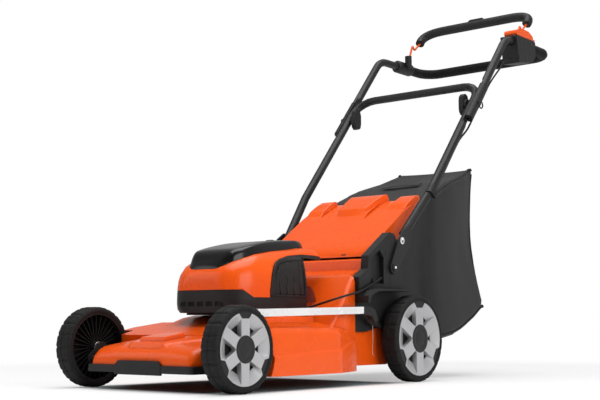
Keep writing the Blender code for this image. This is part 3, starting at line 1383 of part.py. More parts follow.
def bail_bow():
    """The bail grip's centre line from its right foam end to its left one."""
    ends = [bail_arm(side)[-1] for side in (-1, 1)]
    top_right = (-BAIL_HALF_SPAN, BAIL_TOP_Y, BAIL_TOP_Z)
    top_left = (BAIL_HALF_SPAN, BAIL_TOP_Y, BAIL_TOP_Z)
    return rounded_path([ends[0], top_right, top_left, ends[1]], BAIL_BEND, 6)


def bail_wire():
    """The orange wire that the bail turns on."""
    return tube(bail_arm(-1) + bail_bow()[1:-1] + list(reversed(bail_arm(1))), BAIL_WIRE_RADIUS, 6)


def bail_grip():
    """The foam on the bail, with the raised tab on its top."""
    foam = tube(bail_bow(), BAIL_GRIP_RADIUS, 12, BAIL_WIRE_RADIUS + 0.0008)
    low = BAIL_TOP_Z + BAIL_GRIP_RADIUS * 0.6
    high = BAIL_TOP_Z + BAIL_GRIP_RADIUS + 0.004
    tab = [(-0.030, low), (0.032, low), (0.024, high), (-0.018, high)]
    return union(foam, prism([tab], "Y", BAIL_TOP_Y - 0.006, BAIL_TOP_Y + 0.005))


def switch_box():
    """The dark switch box on the left, which takes the upper tube and the grip."""
    front, rear = BOX_FRONT_Y, BOX_REAR_Y
    corners = [
        (front - 0.006, BOX_TOP_Z), (front + 0.008, BOX_BOTTOM_Z), (rear - 0.020, BOX_BOTTOM_Z + 0.012),
        (rear, BOX_BOTTOM_Z + 0.030), (rear, BOX_TOP_Z),
    ]
    made = prism([rounded_outline(corners, 0.006, 3)], "X", BOX_INNER_X, BOX_OUTER_X)
    tube_line, grip_line = (UPPER_TUBE_X, 0, HANDLE_TOP_Z), (GRIP_X, 0, HANDLE_TOP_Z)
    front_bore = cylinder(tube_line, "Y", TUBE_RADIUS + 2 * GAP, front - 0.05, front + 0.045, 16)
    rear_bore = cylinder(grip_line, "Y", GRIP_RADIUS + 2 * GAP, rear - 0.0165, rear + 0.05, 16)
    return cut(made, front_bore, rear_bore)


def switch_cover():
    """The orange cover on the switch box."""
    low, top = BOX_TOP_Z + GAP, COVER_TOP_Z
    front, rear = BOX_FRONT_Y - 0.002, BOX_REAR_Y - 0.010
    corners = [
        (front, low), (rear, low), (rear, top - 0.012), (rear - 0.025, top - 0.001),
        (front + 0.038, top), (front, top - 0.009),
    ]
    made = prism([rounded_outline(corners, 0.006, 3)], "X", COVER_INNER_X, BOX_OUTER_X - 0.001)
    stub_room = BAIL_WIRE_RADIUS + RUNNING_GAP
    return cut(made, cylinder(BAIL_AXIS, "X", stub_room, 0.1, BAIL_STUB_X + 0.001, 12))


def start_button():
    """The orange start button behind the cover."""
    front = BOX_REAR_Y - 0.010 + GAP
    low = BOX_TOP_Z + 0.0035
    outline = [(front, low), (front + BUTTON_LENGTH, low + 0.004), (front + BUTTON_LENGTH, low + 0.007),
               (front + 0.012, COVER_TOP_Z - 0.0145), (front, COVER_TOP_Z - 0.0125)]
    return prism([outline], "X", COVER_INNER_X + 0.004, BOX_OUTER_X - 0.010)


# Flap and bag

FLAP_TOP_LINE = [
    (0.503, 0.289), (0.507, 0.3005), (0.530, 0.3185), (0.565, 0.343), (0.605, 0.371), (0.650, 0.402),
    (0.695, 0.427), (0.722, 0.440), (FLAP_REAR_Y - 0.004, FLAP_TOP_Z),
]


FLAP_PADS = [(-0.149, -0.098, 0.640, 0.003), (-0.062, 0.052, 0.628, 0.006), (0.086, 0.149, 0.650, 0.003)]


def flap_height(y):
    """The height of the flap's top at a y."""
    for (y0, z0), (y1, z1) in zip(FLAP_TOP_LINE, FLAP_TOP_LINE[1:]):
        if y <= y1:
            return z0 + (z1 - z0) * (y - y0) / (y1 - y0)
    return FLAP_TOP_Z


def flap_outline(inset):
    """The flap's (y, z) outline: its bowed top and the lower edge of its side walls."""
    top = list(FLAP_TOP_LINE)
    bottom = [
        (FLAP_REAR_Y, FLAP_TOP_Z - 0.014), (0.728, 0.405), (0.690, 0.362), (0.640, 0.326), (0.580, 0.302),
        (0.525, 0.2905),
    ]
    if not inset:
        return top + bottom
    shifted = [(y + 0.6 * inset, z - 0.85 * inset) for y, z in top[1:]]
    lip, past = FLAP_TOP_Z - 0.009, FLAP_REAR_Y + 0.01
    return [(0.512, 0.27)] + shifted + [(FLAP_REAR_Y - inset, lip), (past, lip), (past, 0.25)]


def rear_flap():
    """The orange flap over the bag's mouth, with three raised pads along its top edge."""
    hood = prism([flap_outline(0.0)], "X", -FLAP_HALF_WIDTH, FLAP_HALF_WIDTH)
    inside = FLAP_HALF_WIDTH - FLAP_WALL
    made = cut(hood, prism([flap_outline(FLAP_WALL)], "X", -inside, inside))
    end = FLAP_REAR_Y - 0.005
    for low, high, start, rise in FLAP_PADS:
        under = [(y, flap_height(y) - 0.0016) for y in (end, 0.722, 0.695, start + 0.014, start)]
        over = [(y, flap_height(y) + rise) for y in (start + 0.022, 0.712)]
        over.append((end, FLAP_TOP_Z + rise - 0.003))
        made = union(made, prism([under + over], "X", low, high))
    knuckle_low, knuckle_high = FLAP_HALF_WIDTH - 0.022, FLAP_HALF_WIDTH - 0.006
    for side in (-1, 1):
        low, high = sorted((side * knuckle_low, side * knuckle_high))
        made = union(made, cylinder(FLAP_HINGE, "X", 0.0062, low, high, 20))
    return cut(made, cylinder(FLAP_HINGE, "X", FLAP_PIN_RADIUS + RUNNING_GAP, -0.25, 0.25, 16))


def flap_pin():
    """The steel pin that the flap turns on."""
    half = FLAP_HALF_WIDTH + 0.004
    return cylinder(FLAP_HINGE, "X", FLAP_PIN_RADIUS, -half, half, 16)


def bag_ring(y, low_half, high_half, low, high, inset):
    """One section of the grass bag."""
    sagged = (low_half + high_half) / 2 - BAG_SIDE_SAG
    half = [
        (low_half - 0.012 - inset, low + inset), (low_half - 0.002 - inset, low + 0.012),
        (low_half - inset, low + 0.04), (sagged - inset, (low + high) / 2), (high_half - inset, high - 0.03),
        (high_half - 0.004 - inset, high - 0.010 - inset), (high_half - 0.016 - inset, high - inset),
    ]
    return [Vector((x, y, z)) for x, z in mirror_half(half)]


def bag_stations():
    """The bag's sections: y, half-width below and above, bottom and top."""
    front, wide = BAG_FRONT_HALF_WIDTH, BAG_MIDDLE_HALF_WIDTH
    return [
        (BAG_FRONT_Y + GAP, front, front, BAG_BOTTOM_Z, 0.3545),
        (0.640, front, front, BAG_BOTTOM_Z, 0.381),
        (0.690, front, front, BAG_BOTTOM_Z, 0.412),
        (FLAP_REAR_Y + 0.002, front + 0.001, front, BAG_BOTTOM_Z, 0.430),
        (0.765, wide - 0.006, wide - 0.014, BAG_BOTTOM_Z, 0.453),
        (0.800, wide, wide - 0.006, BAG_BOTTOM_Z + 0.001, 0.466),
        (0.880, wide - 0.003, wide - 0.012, BAG_BOTTOM_Z + 0.013, 0.500),
        (0.960, wide - 0.012, wide - 0.026, BAG_BOTTOM_Z + 0.042, 0.526),
        (BAG_REAR_Y, BAG_REAR_BOTTOM_HALF_WIDTH, BAG_REAR_TOP_HALF_WIDTH,
         BAG_REAR_BOTTOM_Z, BAG_REAR_TOP_Z),
    ]


def bag_form(inset):
    """The grass bag's outer form, or with an inset the space inside it."""
    rings = [bag_ring(*station, inset) for station in bag_stations()]
    middle = (BAG_REAR_BOTTOM_Z + BAG_REAR_TOP_Z) / 2
    for corner in rings[-1]:
        reach = (corner.z - middle) / (BAG_REAR_TOP_Z - middle)
        corner.y += BAG_REAR_FLARE * reach ** 2 - inset
    return loft(rings)


def mouth(low_y, high_y):
    """The bag's mouth, from side to side and from its bottom to its top edge."""
    return block((-MOUTH_HALF_WIDTH, low_y, MOUTH_BOTTOM_Z), (MOUTH_HALF_WIDTH, high_y, MOUTH_TOP_Z))


def bag_fabric():
    """The grass bag's fabric, open at its mouth."""
    hollow = cut(bag_form(BAG_WALL), block((-0.3, 0.4, 0.0), (0.3, BAG_FRONT_Y + 0.004, 0.6)))
    return cut(bag_form(0.0), hollow, mouth(0.5, 0.65))


def bag_frame():
    """The dark frame round the bag's mouth, which hangs on the tower."""
    front = TOWER_REAR_Y + GAP
    half, low, high = FRAME_HALF_WIDTH, FRAME_BOTTOM_Z, FRAME_TOP_Z
    shape = rounded_outline([(half, low), (half, high), (-half, high), (-half, low)], 0.012, 4)
    ring = prism([shape], "Y", front, front + FRAME_THICKNESS)
    neck_half = BAG_FRONT_HALF_WIDTH - 0.004
    neck_start = front + FRAME_THICKNESS - 0.001
    neck = block((-neck_half, neck_start, BAG_BOTTOM_Z + 0.004), (neck_half, BAG_FRONT_Y, 0.290))
    return cut(union(ring, neck), mouth(0.5, 0.7))


def bag_base():
    """The black rim along the bag's bottom."""
    rings = []
    for y, half, _, low, _ in bag_stations()[1:]:
        if y == BAG_REAR_Y:
            y += BAG_REAR_FLARE
        edge = half - 0.010
        section = [(edge - 0.003, low - 0.004), (edge, low - GAP)]
        section += [(-x, z) for x, z in reversed(section)]
        rings.append([Vector((x, y, z)) for x, z in section])
    return loft(rings)


def bag_handle():
    """The carrying handle on the bag's top."""
    y, _, _, _, top = bag_stations()[6]
    corners = [(-0.052, y, top - 0.01), (-0.047, y, top + 0.018)]
    corners += [(-x, y, z) for x, y, z in reversed(corners)]
    return cut(tube(rounded_path(corners, 0.012, 4), 0.006, 10), bag_form(-GAP))


# Cable

def cable_upper():
    """The control cable along the left upper tube, down past its foot."""
    points = [(UPPER_TUBE_X - 0.006, BOX_FRONT_Y + 0.016, BOX_BOTTOM_Z - GAP)]
    points.append((UPPER_TUBE_X - 0.006, BOX_FRONT_Y + 0.010, BOX_BOTTOM_Z - 0.012))
    clear = TUBE_RADIUS + SLEEVE_WALL + CABLE_RADIUS + 0.0012
    route = [
        (0.745, clear + 0.036), (0.70, clear + 0.010), (0.65, clear), (0.60, clear),
        (0.55, CABLE_SPLIT_OFFSET), (CABLE_SPLIT_REACH + GAP / 2, CABLE_SPLIT_OFFSET),
    ]
    points += [(UPPER_TUBE_X, *along_handle(distance, offset)) for distance, offset in route]
    return tube(smooth_path(points, 3), CABLE_RADIUS, 6)


def cable_lower():
    """The control cable along the left lower tube, from where the upper tube's foot no longer sweeps."""
    clear = TUBE_RADIUS + CABLE_RADIUS + 0.0005
    route = [
        (UPPER_TUBE_X, CABLE_SPLIT_REACH - GAP / 2, CABLE_SPLIT_OFFSET), (0.2065, 0.485, CABLE_SPLIT_OFFSET),
        (0.2005, 0.450, clear), (LOWER_TUBE_X, 0.40, clear), (LOWER_TUBE_X, 0.28, clear),
        (0.1885, 0.16, clear),
    ]
    points = [(x, *along_handle(distance, offset)) for x, distance, offset in route]
    return tube(smooth_path(points, 3), CABLE_RADIUS, 6)


def cable_ring():
    """The wire ring on the left sleeve that keeps the cable's slack."""
    y, z = along_handle(KNOB_REACH + 0.012, TUBE_RADIUS + SLEEVE_WALL + 0.0058)
    loop = [Vector((RING_X, v[0], v[1])) for v in circle((y, z), RING_RADIUS, 18)]
    rows = []
    for point in loop:
        out = (point - Vector((RING_X, y, z))).normalized()
        ring = circle((0, 0), RING_WIRE_RADIUS, 6)
        rows.append([point + out * u + Vector((v, 0, 0)) for u, v in ring])
    verts = [p for row in rows for p in row]
    faces = []
    for r in range(18):
        for k in range(6):
            a, b = r * 6 + k, r * 6 + (k + 1) % 6
            c, d = ((r + 1) % 18) * 6 + (k + 1) % 6, ((r + 1) % 18) * 6 + k
            faces.append((a, b, c, d))
    start = HANDLE_LINE_START + Vector((UPPER_TUBE_X, 0, 0))
    sleeve_room = TUBE_RADIUS + 2 * GAP + SLEEVE_WALL
    keep_out = tube([start + HANDLE_RUN * 0.5, start + HANDLE_RUN * 0.7], sleeve_room, 18)
    return cut(mesh_from(verts, faces), keep_out)


def cable_deck():
    """The control cable from the bracket to the motor housing."""
    points = [
        (0.1925, 0.505, 0.238), (0.1940, 0.465, 0.222), (0.1955, 0.423, 0.2065), (0.1952, 0.372, 0.196),
        (0.182, 0.340, 0.1865), (0.160, 0.325, 0.178), (0.135, 0.316, 0.170), (0.1108, 0.310, 0.1665),
    ]
    return tube(smooth_path(points, 3), CABLE_RADIUS, 6)


def build_mower():
    """Build every piece on its body and set the mower on the world's origin."""
    mower = Mower()
    mower.body("front_axle", FRONT_PIVOT)
    mower.body("rear_axle", REAR_PIVOT)
    mower.body("link_rod", FRONT_PIVOT + ROD_PIN_OFFSET, "front_axle")
    mower.body("blade_rotor", BLADE_AXIS + Vector((0, 0, BLADE_Z)))
    mower.body("battery_lid", LID_HINGE)
    mower.body("battery", Vector((0, BATTERY_FRONT_Y, BATTERY_BOTTOM_Z)))
    mower.body("safety_key", Vector((0, BAY_FRONT_Y, 0.26)))
    mower.body("rear_flap", FLAP_HINGE)
    mower.body("grass_bag", Vector((0, TOWER_REAR_Y, FRAME_BOTTOM_Z)))
    mower.body("lower_handle", HANDLE_PIVOT)
    mower.body("upper_handle", KNOB_AXIS, "lower_handle")
    mower.body("knob_left", KNOB_AXIS + Vector((KNOB_FACE_X, 0, 0)), "lower_handle")
    mower.body("knob_right", KNOB_AXIS - Vector((KNOB_FACE_X, 0, 0)), "lower_handle")
    mower.body("bail", BAIL_AXIS, "upper_handle")
    mower.body("start_button", Vector((GRIP_X, BOX_REAR_Y, BOX_TOP_Z)), "upper_handle")

    mower.add("deck_shell", deck_shell(), "orange")
    mower.add("front_bumper", bumper(), "dark")
    mower.add("motor_base", motor_base(), "dark")
    mower.add("motor_cover", motor_cover(), "orange")
    mower.add("motor_can", motor_can(), "steel")
    mower.add("battery_lid", battery_lid(), "gloss_black", "battery_lid")
    mower.add("battery_pack", battery(), "dark", "battery")
    mower.add("safety_key", safety_key(), "wire", "safety_key")
    mower.add("motor_shaft", motor_shaft(), "steel", "blade_rotor")
    mower.add("blade_holder", blade_holder(), "steel", "blade_rotor")
    mower.add("blade", blade(), "steel", "blade_rotor")
    mower.add("blade_bolt", blade_bolt(), "steel", "blade_rotor")

    ends = [("front", FRONT_AXIS, FRONT_PIVOT, FRONT_WHEEL_RADIUS)]
    ends.append(("rear", REAR_AXIS, REAR_PIVOT, REAR_WHEEL_RADIUS))
    for end, axis, pivot, radius in ends:
        carrier = end + "_axle"
        mower.add(carrier, axle(pivot, axis, True), "steel", carrier)
        for name, side in (("left", 1), ("right", -1)):
            centre = axis + Vector((side * WHEEL_X, 0, 0))
            wheel = f"{end}_{name}_wheel"
            mower.body(wheel, centre, carrier)
            mower.add(f"{end}_{name}_tyre", tyre(centre, radius), "tyre", wheel)
            mower.add(f"{end}_{name}_rim", rim(centre, radius, side), "dark", wheel)
            mower.add(f"{end}_{name}_hubcap", hubcap(centre, radius, side), "silver", wheel)
    mower.add("link_rod", link_rod(), "rod", "link_rod")
    mower.add("height_handle", height_handle(), "dark", "link_rod")

    left_bracket = bracket()
    mower.add("bracket_right", mirrored(left_bracket), "dark")
    mower.add("bracket_left", left_bracket, "dark")
    head = STRAP_INNER_X + STRAP_THICKNESS + GAP
    for name, side in (("left", 1), ("right", -1)):
        pivot_bolt = bolt(HANDLE_PIVOT, head, TOWER_HALF_WIDTH + 0.002, side, 0.0055, BOLT_HEAD_HEIGHT)
        mower.add(f"pivot_bolt_{name}", pivot_bolt, "steel")
        lock_bolt = bolt(lock_spot(), head, STRAP_INNER_X + GAP, side, BOLT_HEAD_RADIUS, BOLT_HEAD_HEIGHT)
        mower.add(f"lock_bolt_{name}", lock_bolt, "steel", "lower_handle")
        clamp_head = UPPER_TUBE_X + TUBE_RADIUS + SLEEVE_WALL + 2 * GAP
        knob_bolt = bolt(KNOB_AXIS, clamp_head, KNOB_FACE_X - 0.012, side, 0.007, KNOB_BOLT_HEAD_HEIGHT)
        mower.add(f"knob_bolt_{name}", knob_bolt, "dark", "lower_handle")
    mower.add("lower_handle", lower_handle(), "tube", "lower_handle")
    left_knob = knob()
    mower.add("knob_right", mirrored(left_knob), "dark", "knob_right")
    mower.add("knob_left", left_knob, "dark", "knob_left")
    mower.add("upper_handle_left", upper_tube(BOX_FRONT_Y + 0.044), "tube", "upper_handle")
    mower.add("upper_handle_right", mirrored(upper_tube(CLAMP_FRONT_Y + 0.034)), "tube", "upper_handle")
    left_sleeve = sleeve()
    mower.add("sleeve_right", mirrored(left_sleeve), "dark", "upper_handle")
    mower.add("sleeve_left", left_sleeve, "dark", "upper_handle")
    mower.add("grip_clamp", grip_clamp(), "dark", "upper_handle")
    mower.add("grip_loop", grip_loop(), "foam", "upper_handle")
    mower.add("switch_box", switch_box(), "dark", "upper_handle")
    mower.add("switch_cover", switch_cover(), "orange", "upper_handle")
    mower.add("start_button", start_button(), "orange", "start_button")
    mower.add("bail_wire", bail_wire(), "wire", "bail")
    mower.add("bail_grip", bail_grip(), "foam", "bail")

    mower.add("rear_flap", rear_flap(), "orange", "rear_flap")
    mower.add("flap_pin", flap_pin(), "steel")
    mower.add("bag_fabric", bag_fabric(), "fabric", "grass_bag")
    mower.add("bag_frame", bag_frame(), "dark", "grass_bag")
    mower.add("bag_base", bag_base(), "dark", "grass_bag")
    mower.add("bag_handle", bag_handle(), "dark", "grass_bag")

    mower.add("cable_upper", cable_upper(), "cable", "upper_handle")
    mower.add("cable_lower", cable_lower(), "cable", "lower_handle")
    mower.add("cable_ring", cable_ring(), "cable", "upper_handle")
    mower.add("cable_deck", cable_deck(), "cable")
    mower.set_on_origin()


for old in list(bpy.data.objects):
    bpy.data.objects.remove(old)
build_mower()
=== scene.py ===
"""A cordless lawn mower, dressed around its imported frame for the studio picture."""

import json
import logging
import math
from collections.abc import Callable, Sequence
from dataclasses import dataclass
from enum import Enum

import bmesh
import bpy
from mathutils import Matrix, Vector, noise
from mathutils.bvhtree import BVHTree

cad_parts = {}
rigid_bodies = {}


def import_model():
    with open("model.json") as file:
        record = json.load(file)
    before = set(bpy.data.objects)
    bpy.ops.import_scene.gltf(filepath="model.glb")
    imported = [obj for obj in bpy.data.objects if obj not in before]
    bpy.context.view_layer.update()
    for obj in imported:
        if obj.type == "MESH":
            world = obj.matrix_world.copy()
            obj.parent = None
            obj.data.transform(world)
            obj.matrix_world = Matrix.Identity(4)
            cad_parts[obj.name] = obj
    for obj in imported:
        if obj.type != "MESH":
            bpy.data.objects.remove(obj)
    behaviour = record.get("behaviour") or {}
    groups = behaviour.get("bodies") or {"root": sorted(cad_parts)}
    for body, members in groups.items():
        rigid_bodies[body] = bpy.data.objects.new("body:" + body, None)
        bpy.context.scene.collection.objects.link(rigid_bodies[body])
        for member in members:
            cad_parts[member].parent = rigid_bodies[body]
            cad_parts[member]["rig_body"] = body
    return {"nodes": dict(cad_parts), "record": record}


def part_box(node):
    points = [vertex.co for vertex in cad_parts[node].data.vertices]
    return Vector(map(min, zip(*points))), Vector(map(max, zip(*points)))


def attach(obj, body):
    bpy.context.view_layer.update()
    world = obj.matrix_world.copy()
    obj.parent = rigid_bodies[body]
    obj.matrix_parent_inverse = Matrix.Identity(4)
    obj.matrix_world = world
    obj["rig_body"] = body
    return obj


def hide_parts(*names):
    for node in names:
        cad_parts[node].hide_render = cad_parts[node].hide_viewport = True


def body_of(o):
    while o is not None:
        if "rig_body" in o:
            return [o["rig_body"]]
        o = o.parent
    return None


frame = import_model()

LOG = logging.getLogger("mower")
Colour = tuple[float, float, float]
Loop = list[Vector]
PICTURE_WIDTH = 600
FULL_TURN = 2 * math.pi

# How steeply the handle rises from the level
HANDLE_SLOPE = math.radians(50.3)

# How far the foot of a raised pad or strip stands in the face under it, in metres
SUNK = 0.0015

# The angles above which an edge stays sharp
SHARP_EDGE = math.radians(38)
MOULDED_EDGE = math.radians(30)
SOFT_EDGE = math.radians(40)
EASED_EDGE = math.radians(42)
ROUND_EDGE = math.radians(60)

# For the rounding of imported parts: how near points are welded, how flat faces are joined and from which
# angle on an edge is rounded
WELD_DISTANCE = 1e-6
FLAT_ANGLE = math.radians(0.4)
ROUNDED_FROM = math.radians(34)


class Slot(Enum):
    """The record's material slots."""

    ORANGE = "orange_moulding"
    DARK = "dark_moulding"
    GLOSS = "gloss_black"
    TYRE = "tyre_rubber"
    SILVER = "silver_paint"
    TUBE = "tube_paint"
    FOAM = "grip_foam"
    FABRIC = "bag_fabric"
    ROD = "rod_coating"
    STEEL = "zinc_steel"
    WIRE = "orange_wire"
    CABLE = "cable_jacket"


# Shader building

class ShaderTree:
    """Adds nodes and links to one shader node tree.

    Attributes:
        tree: The material's, the world's or the group's node tree.
    """

    def __init__(self, tree: bpy.types.NodeTree) -> None:
        """Keeps the tree."""
        self.tree = tree

    def put(self, value: object, target: bpy.types.NodeSocket) -> None:
        """Gives an input its value.

        Args:
            value: Another node's output, which is linked to the input, or a plain value.
            target: The input.
        """
        if isinstance(value, bpy.types.NodeSocket):
            self.tree.links.new(value, target)
        else:
            target.default_value = value

    def add(self, kind: str, values: dict[str | int, object] | None = None,
            **settings: object) -> bpy.types.Node:
        """Adds a node.

        Args:
            kind: The node's type name.
            values: What its inputs get, by the input's name or number.
            settings: Properties of the node.

        Returns:
            The new node.
        """
        made = self.tree.nodes.new(kind)
        for name, value in settings.items():
            setattr(made, name, value)
        for name, value in (values or {}).items():
            self.put(value, made.inputs[name])
        return made

    def math(self, kind: str, first: object, second: object = 0.5) -> bpy.types.NodeSocket:
        """Adds a Math node.

        Args:
            kind: The operation.
            first: A socket or a number.
            second: A socket or a number.

        Returns:
            The result's socket.
        """
        return self.add("ShaderNodeMath", {0: first, 1: second}, operation=kind).outputs[0]

    def ranged(self, value: bpy.types.NodeSocket, limits: tuple[float, float] = (0.0, 1.0),
               results: tuple[object, object] = (0.0, 1.0), **settings: object) -> bpy.types.NodeSocket:
        """Maps a number between two limits onto two results.

        Args:
            value: The number's socket.
            limits: The numbers that become the first and the second result.
            results: The two results, each a number or a socket.
            settings: Properties of the node.

        Returns:
            The mapped number's socket.
        """
        values = {"Value": value, "From Min": limits[0], "From Max": limits[1], "To Min": results[0],
                  "To Max": results[1]}
        return self.add("ShaderNodeMapRange", values, **settings).outputs["Result"]

    def blend(self, mask: bpy.types.NodeSocket, first: object, second: object) -> bpy.types.NodeSocket:
        """Blends two colours by a mask.

        Args:
            mask: The mask's socket.
            first: The colour where the mask is 0, or its socket.
            second: The colour where the mask is 1, or its socket.

        Returns:
            The blended colour's socket.
        """
        ends = [end if isinstance(end, bpy.types.NodeSocket) else (*end, 1.0) for end in (first, second)]
        values = {"A": ends[0], "B": ends[1], "Factor": mask}
        return self.add("ShaderNodeMix", values, data_type="RGBA").outputs["Result"]

    def noise(self, spot: bpy.types.NodeSocket, scale: object, detail: float) -> bpy.types.NodeSocket:
        """Adds a noise texture.

        Args:
            spot: The coordinates.
            scale: A number or a socket.
            detail: The number of octaves.

        Returns:
            The noise, from 0 to 1.
        """
        values = {"Vector": spot, "Scale": scale, "Detail": detail}
        return self.add("ShaderNodeTexNoise", values).outputs["Fac"]

    def parts(self, vector: bpy.types.NodeSocket) -> bpy.types.NodeOutputs:
        """Splits a vector into the outputs X, Y and Z."""
        return self.add("ShaderNodeSeparateXYZ", {"Vector": vector}).outputs


class Effects:
    """The surface effects that several finishes share, each a node group that is built once.

    Attributes:
        grain: The fine grain of moulded or sprayed surfaces.
        handling: Rub marks and settled dust.
        weave: The bag's plain weave.
    """

    def __init__(self) -> None:
        """Builds every group."""
        self.grain = self._grain()
        self.handling = self._handling()
        self.weave = self._weave()

    @staticmethod
    def _start(name: str, inputs: dict[str, float],
               outputs: Sequence[str]) -> tuple[ShaderTree, bpy.types.Node, bpy.types.Node]:
        """Starts a group with its coordinates, inputs and outputs.

        Args:
            name: The group's name.
            inputs: Each number that the group takes, with its usual value.
            outputs: The names of its outputs.

        Returns:
            The tree and its input and output nodes.
        """
        group = bpy.data.node_groups.new(name, "ShaderNodeTree")
        group.interface.new_socket("Coordinates", in_out="INPUT", socket_type="NodeSocketVector")
        for label, value in inputs.items():
            socket = group.interface.new_socket(label, in_out="INPUT", socket_type="NodeSocketFloat")
            socket.default_value = value
        for label in outputs:
            group.interface.new_socket(label, in_out="OUTPUT", socket_type="NodeSocketFloat")
        tree = ShaderTree(group)
        return tree, tree.add("NodeGroupInput"), tree.add("NodeGroupOutput")

    def _grain(self) -> bpy.types.NodeTree:
        """Builds the fine grain of a moulded or sprayed surface, with a slow change of tone.

        Returns:
            The group.
        """
        tree, start, end = self._start("fine_grain", {"Grains per metre": 900.0}, ("Height", "Tone"))
        spot = start.outputs["Coordinates"]
        tree.put(tree.noise(spot, start.outputs["Grains per metre"], 3.0), end.inputs["Height"])
        tree.put(tree.ranged(tree.noise(spot, 9.0, 3.0), (0.35, 0.65)), end.inputs["Tone"])
        return tree.tree

    def _handling(self) -> bpy.types.NodeTree:
        """Builds fine rub marks and a little settled dust, as two masks.

        Returns:
            The group.
        """
        tree, start, end = self._start("rub_and_dust", {"Amount": 0.3}, ("Rubbed", "Dusty"))
        spot, amount = start.outputs["Coordinates"], start.outputs["Amount"]
        stretch = {"Vector": spot, "Scale": (1.0, 6.0, 1.6), "Rotation": (0.3, 0.5, 0.2)}
        lines = tree.noise(tree.add("ShaderNodeMapping", stretch).outputs["Vector"], 70.0, 4.0)
        patches = tree.math("ADD", tree.noise(spot, 14.0, 2.0), 0.45)
        rub = tree.ranged(tree.math("MULTIPLY", lines, patches), (0.56, 0.74))
        tree.put(tree.math("MULTIPLY", rub, amount), end.inputs["Rubbed"])
        normal = tree.add("ShaderNodeNewGeometry").outputs["Normal"]
        upward = tree.math("MAXIMUM", tree.parts(normal)["Z"], 0.0)
        specks = tree.ranged(tree.noise(spot, 260.0, 4.0), (0.45, 0.8))
        dust = tree.math("MULTIPLY", tree.math("MULTIPLY", upward, specks), amount)
        tree.put(dust, end.inputs["Dusty"])
        return tree.tree

    def _weave(self) -> bpy.types.NodeTree:
        """Builds a plain weave from two crossing sets of threads.

        Returns:
            The group.
        """
        tree, start, end = self._start("plain_weave", {"Threads per metre": 700.0}, ("Height", "Tone"))
        spot = start.outputs["Coordinates"]
        scaling = {"Vector": spot, "Scale": start.outputs["Threads per metre"]}
        parts = tree.parts(tree.add("ShaderNodeVectorMath", scaling, operation="SCALE").outputs["Vector"])
        across = tree.math("ADD", parts["X"], parts["Y"])
        warp = tree.math("SINE", tree.math("MULTIPLY", across, math.pi), 0.0)
        weft = tree.math("SINE", tree.math("MULTIPLY", parts["Z"], math.pi), 0.0)
        tree.put(tree.ranged(tree.math("MULTIPLY", warp, weft), (-1.0, 1.0)), end.inputs["Height"])
        tree.put(tree.noise(spot, 45.0, 4.0), end.inputs["Tone"])
        return tree.tree


@dataclass(frozen=True)
class Finish:
    """A finish: its two near colours, its gloss, the relief of its surface and its painted shade in enclosed
    places.

    Attributes:
        slot: The record's slot that it dresses.
        colour: The main colour, linear.
        second: The colour of its patches, worn places or slubs.
        roughness: The lowest and the highest roughness.
        relief: The depth of its grain or weave in metres.
        density: Grains or threads per metre.
        metallic: How much of a metal it is.
        coat: The strength of its clear coat.
        coat_roughness: The clear coat's roughness.
        specular: The strength of its plain gloss.
        painted_shade_reach: The reach of the painted shade in enclosed places, in metres.
        painted_shade_openness: The openness at which the painted shade is deepest and the one at which it
            ends.
        painted_shade_share: The share of the colour that is left where the painted shade is deepest.
        sheen: The strength of its cloth sheen.
        handling: How much rubbing and dust it shows.
        dust: The colour of the dust.
        dust_share: How far the dust covers the colour.
        bump: The strength of its relief.
        woven: Whether it is a weave.
    """

    slot: Slot
    colour: Colour
    second: Colour
    roughness: tuple[float, float]
    relief: float
    density: float
    metallic: float = 0.0
    coat: float = 0.0
    coat_roughness: float = 0.05
    specular: float = 0.25
    painted_shade_reach: float = 0.02
    painted_shade_openness: tuple[float, float] = (0.30, 0.85)
    painted_shade_share: float = 0.45
    sheen: float = 0.0
    handling: float = 0.2
    dust: Colour = (0.32, 0.30, 0.27)
    dust_share: float = 0.25
    bump: float = 0.6
    woven: bool = False

    def build(self, effects: Effects) -> bpy.types.Material:
        """Builds the material.

        Args:
            effects: The shared effect groups.

        Returns:
            The finished material.
        """
        made = bpy.data.materials.new(f"finish_{self.slot.value}")
        made.use_nodes = True
        tree = ShaderTree(made.node_tree)
        where = tree.add("ShaderNodeTexCoord").outputs["Object"]
        pattern = effects.weave if self.woven else effects.grain
        texture = tree.add("ShaderNodeGroup", node_tree=pattern)
        tree.put(where, texture.inputs["Coordinates"])
        tree.put(self.density, texture.inputs[1])
        handled = tree.add("ShaderNodeGroup", node_tree=effects.handling)
        tree.put(where, handled.inputs["Coordinates"])
        tree.put(self.handling, handled.inputs["Amount"])
        tone = texture.outputs["Tone"]
        dusty = tree.blend(tree.math("MULTIPLY", handled.outputs["Dusty"], self.dust_share),
                           tree.blend(tone, self.colour, self.second), self.dust)
        # Painted shade: the base colour darkens in enclosed places, where ambient occlusion finds them shut
        # in.
        painted_shade_occlusion = tree.add("ShaderNodeAmbientOcclusion", {"Distance": self.painted_shade_reach}, samples=8)
        painted_shade_colour = [part * self.painted_shade_share for part in self.colour]
        gloss = tree.math("ADD", tone, handled.outputs["Rubbed"])
        relief = {"Strength": self.bump, "Distance": self.relief, "Height": texture.outputs["Height"]}
        values = {
            "Base Color": tree.blend(tree.ranged(painted_shade_occlusion.outputs["AO"], self.painted_shade_openness), painted_shade_colour, dusty),
            "Roughness": tree.ranged(gloss, results=self.roughness),
            "Normal": tree.add("ShaderNodeBump", relief).outputs["Normal"],
            "Metallic": self.metallic, "Coat Weight": self.coat, "Coat Roughness": self.coat_roughness,
            "Specular IOR Level": self.specular, "Sheen Weight": self.sheen,
        }
        shader = made.node_tree.nodes["Principled BSDF"]
        for name, value in values.items():
            tree.put(value, shader.inputs[name])
        return made


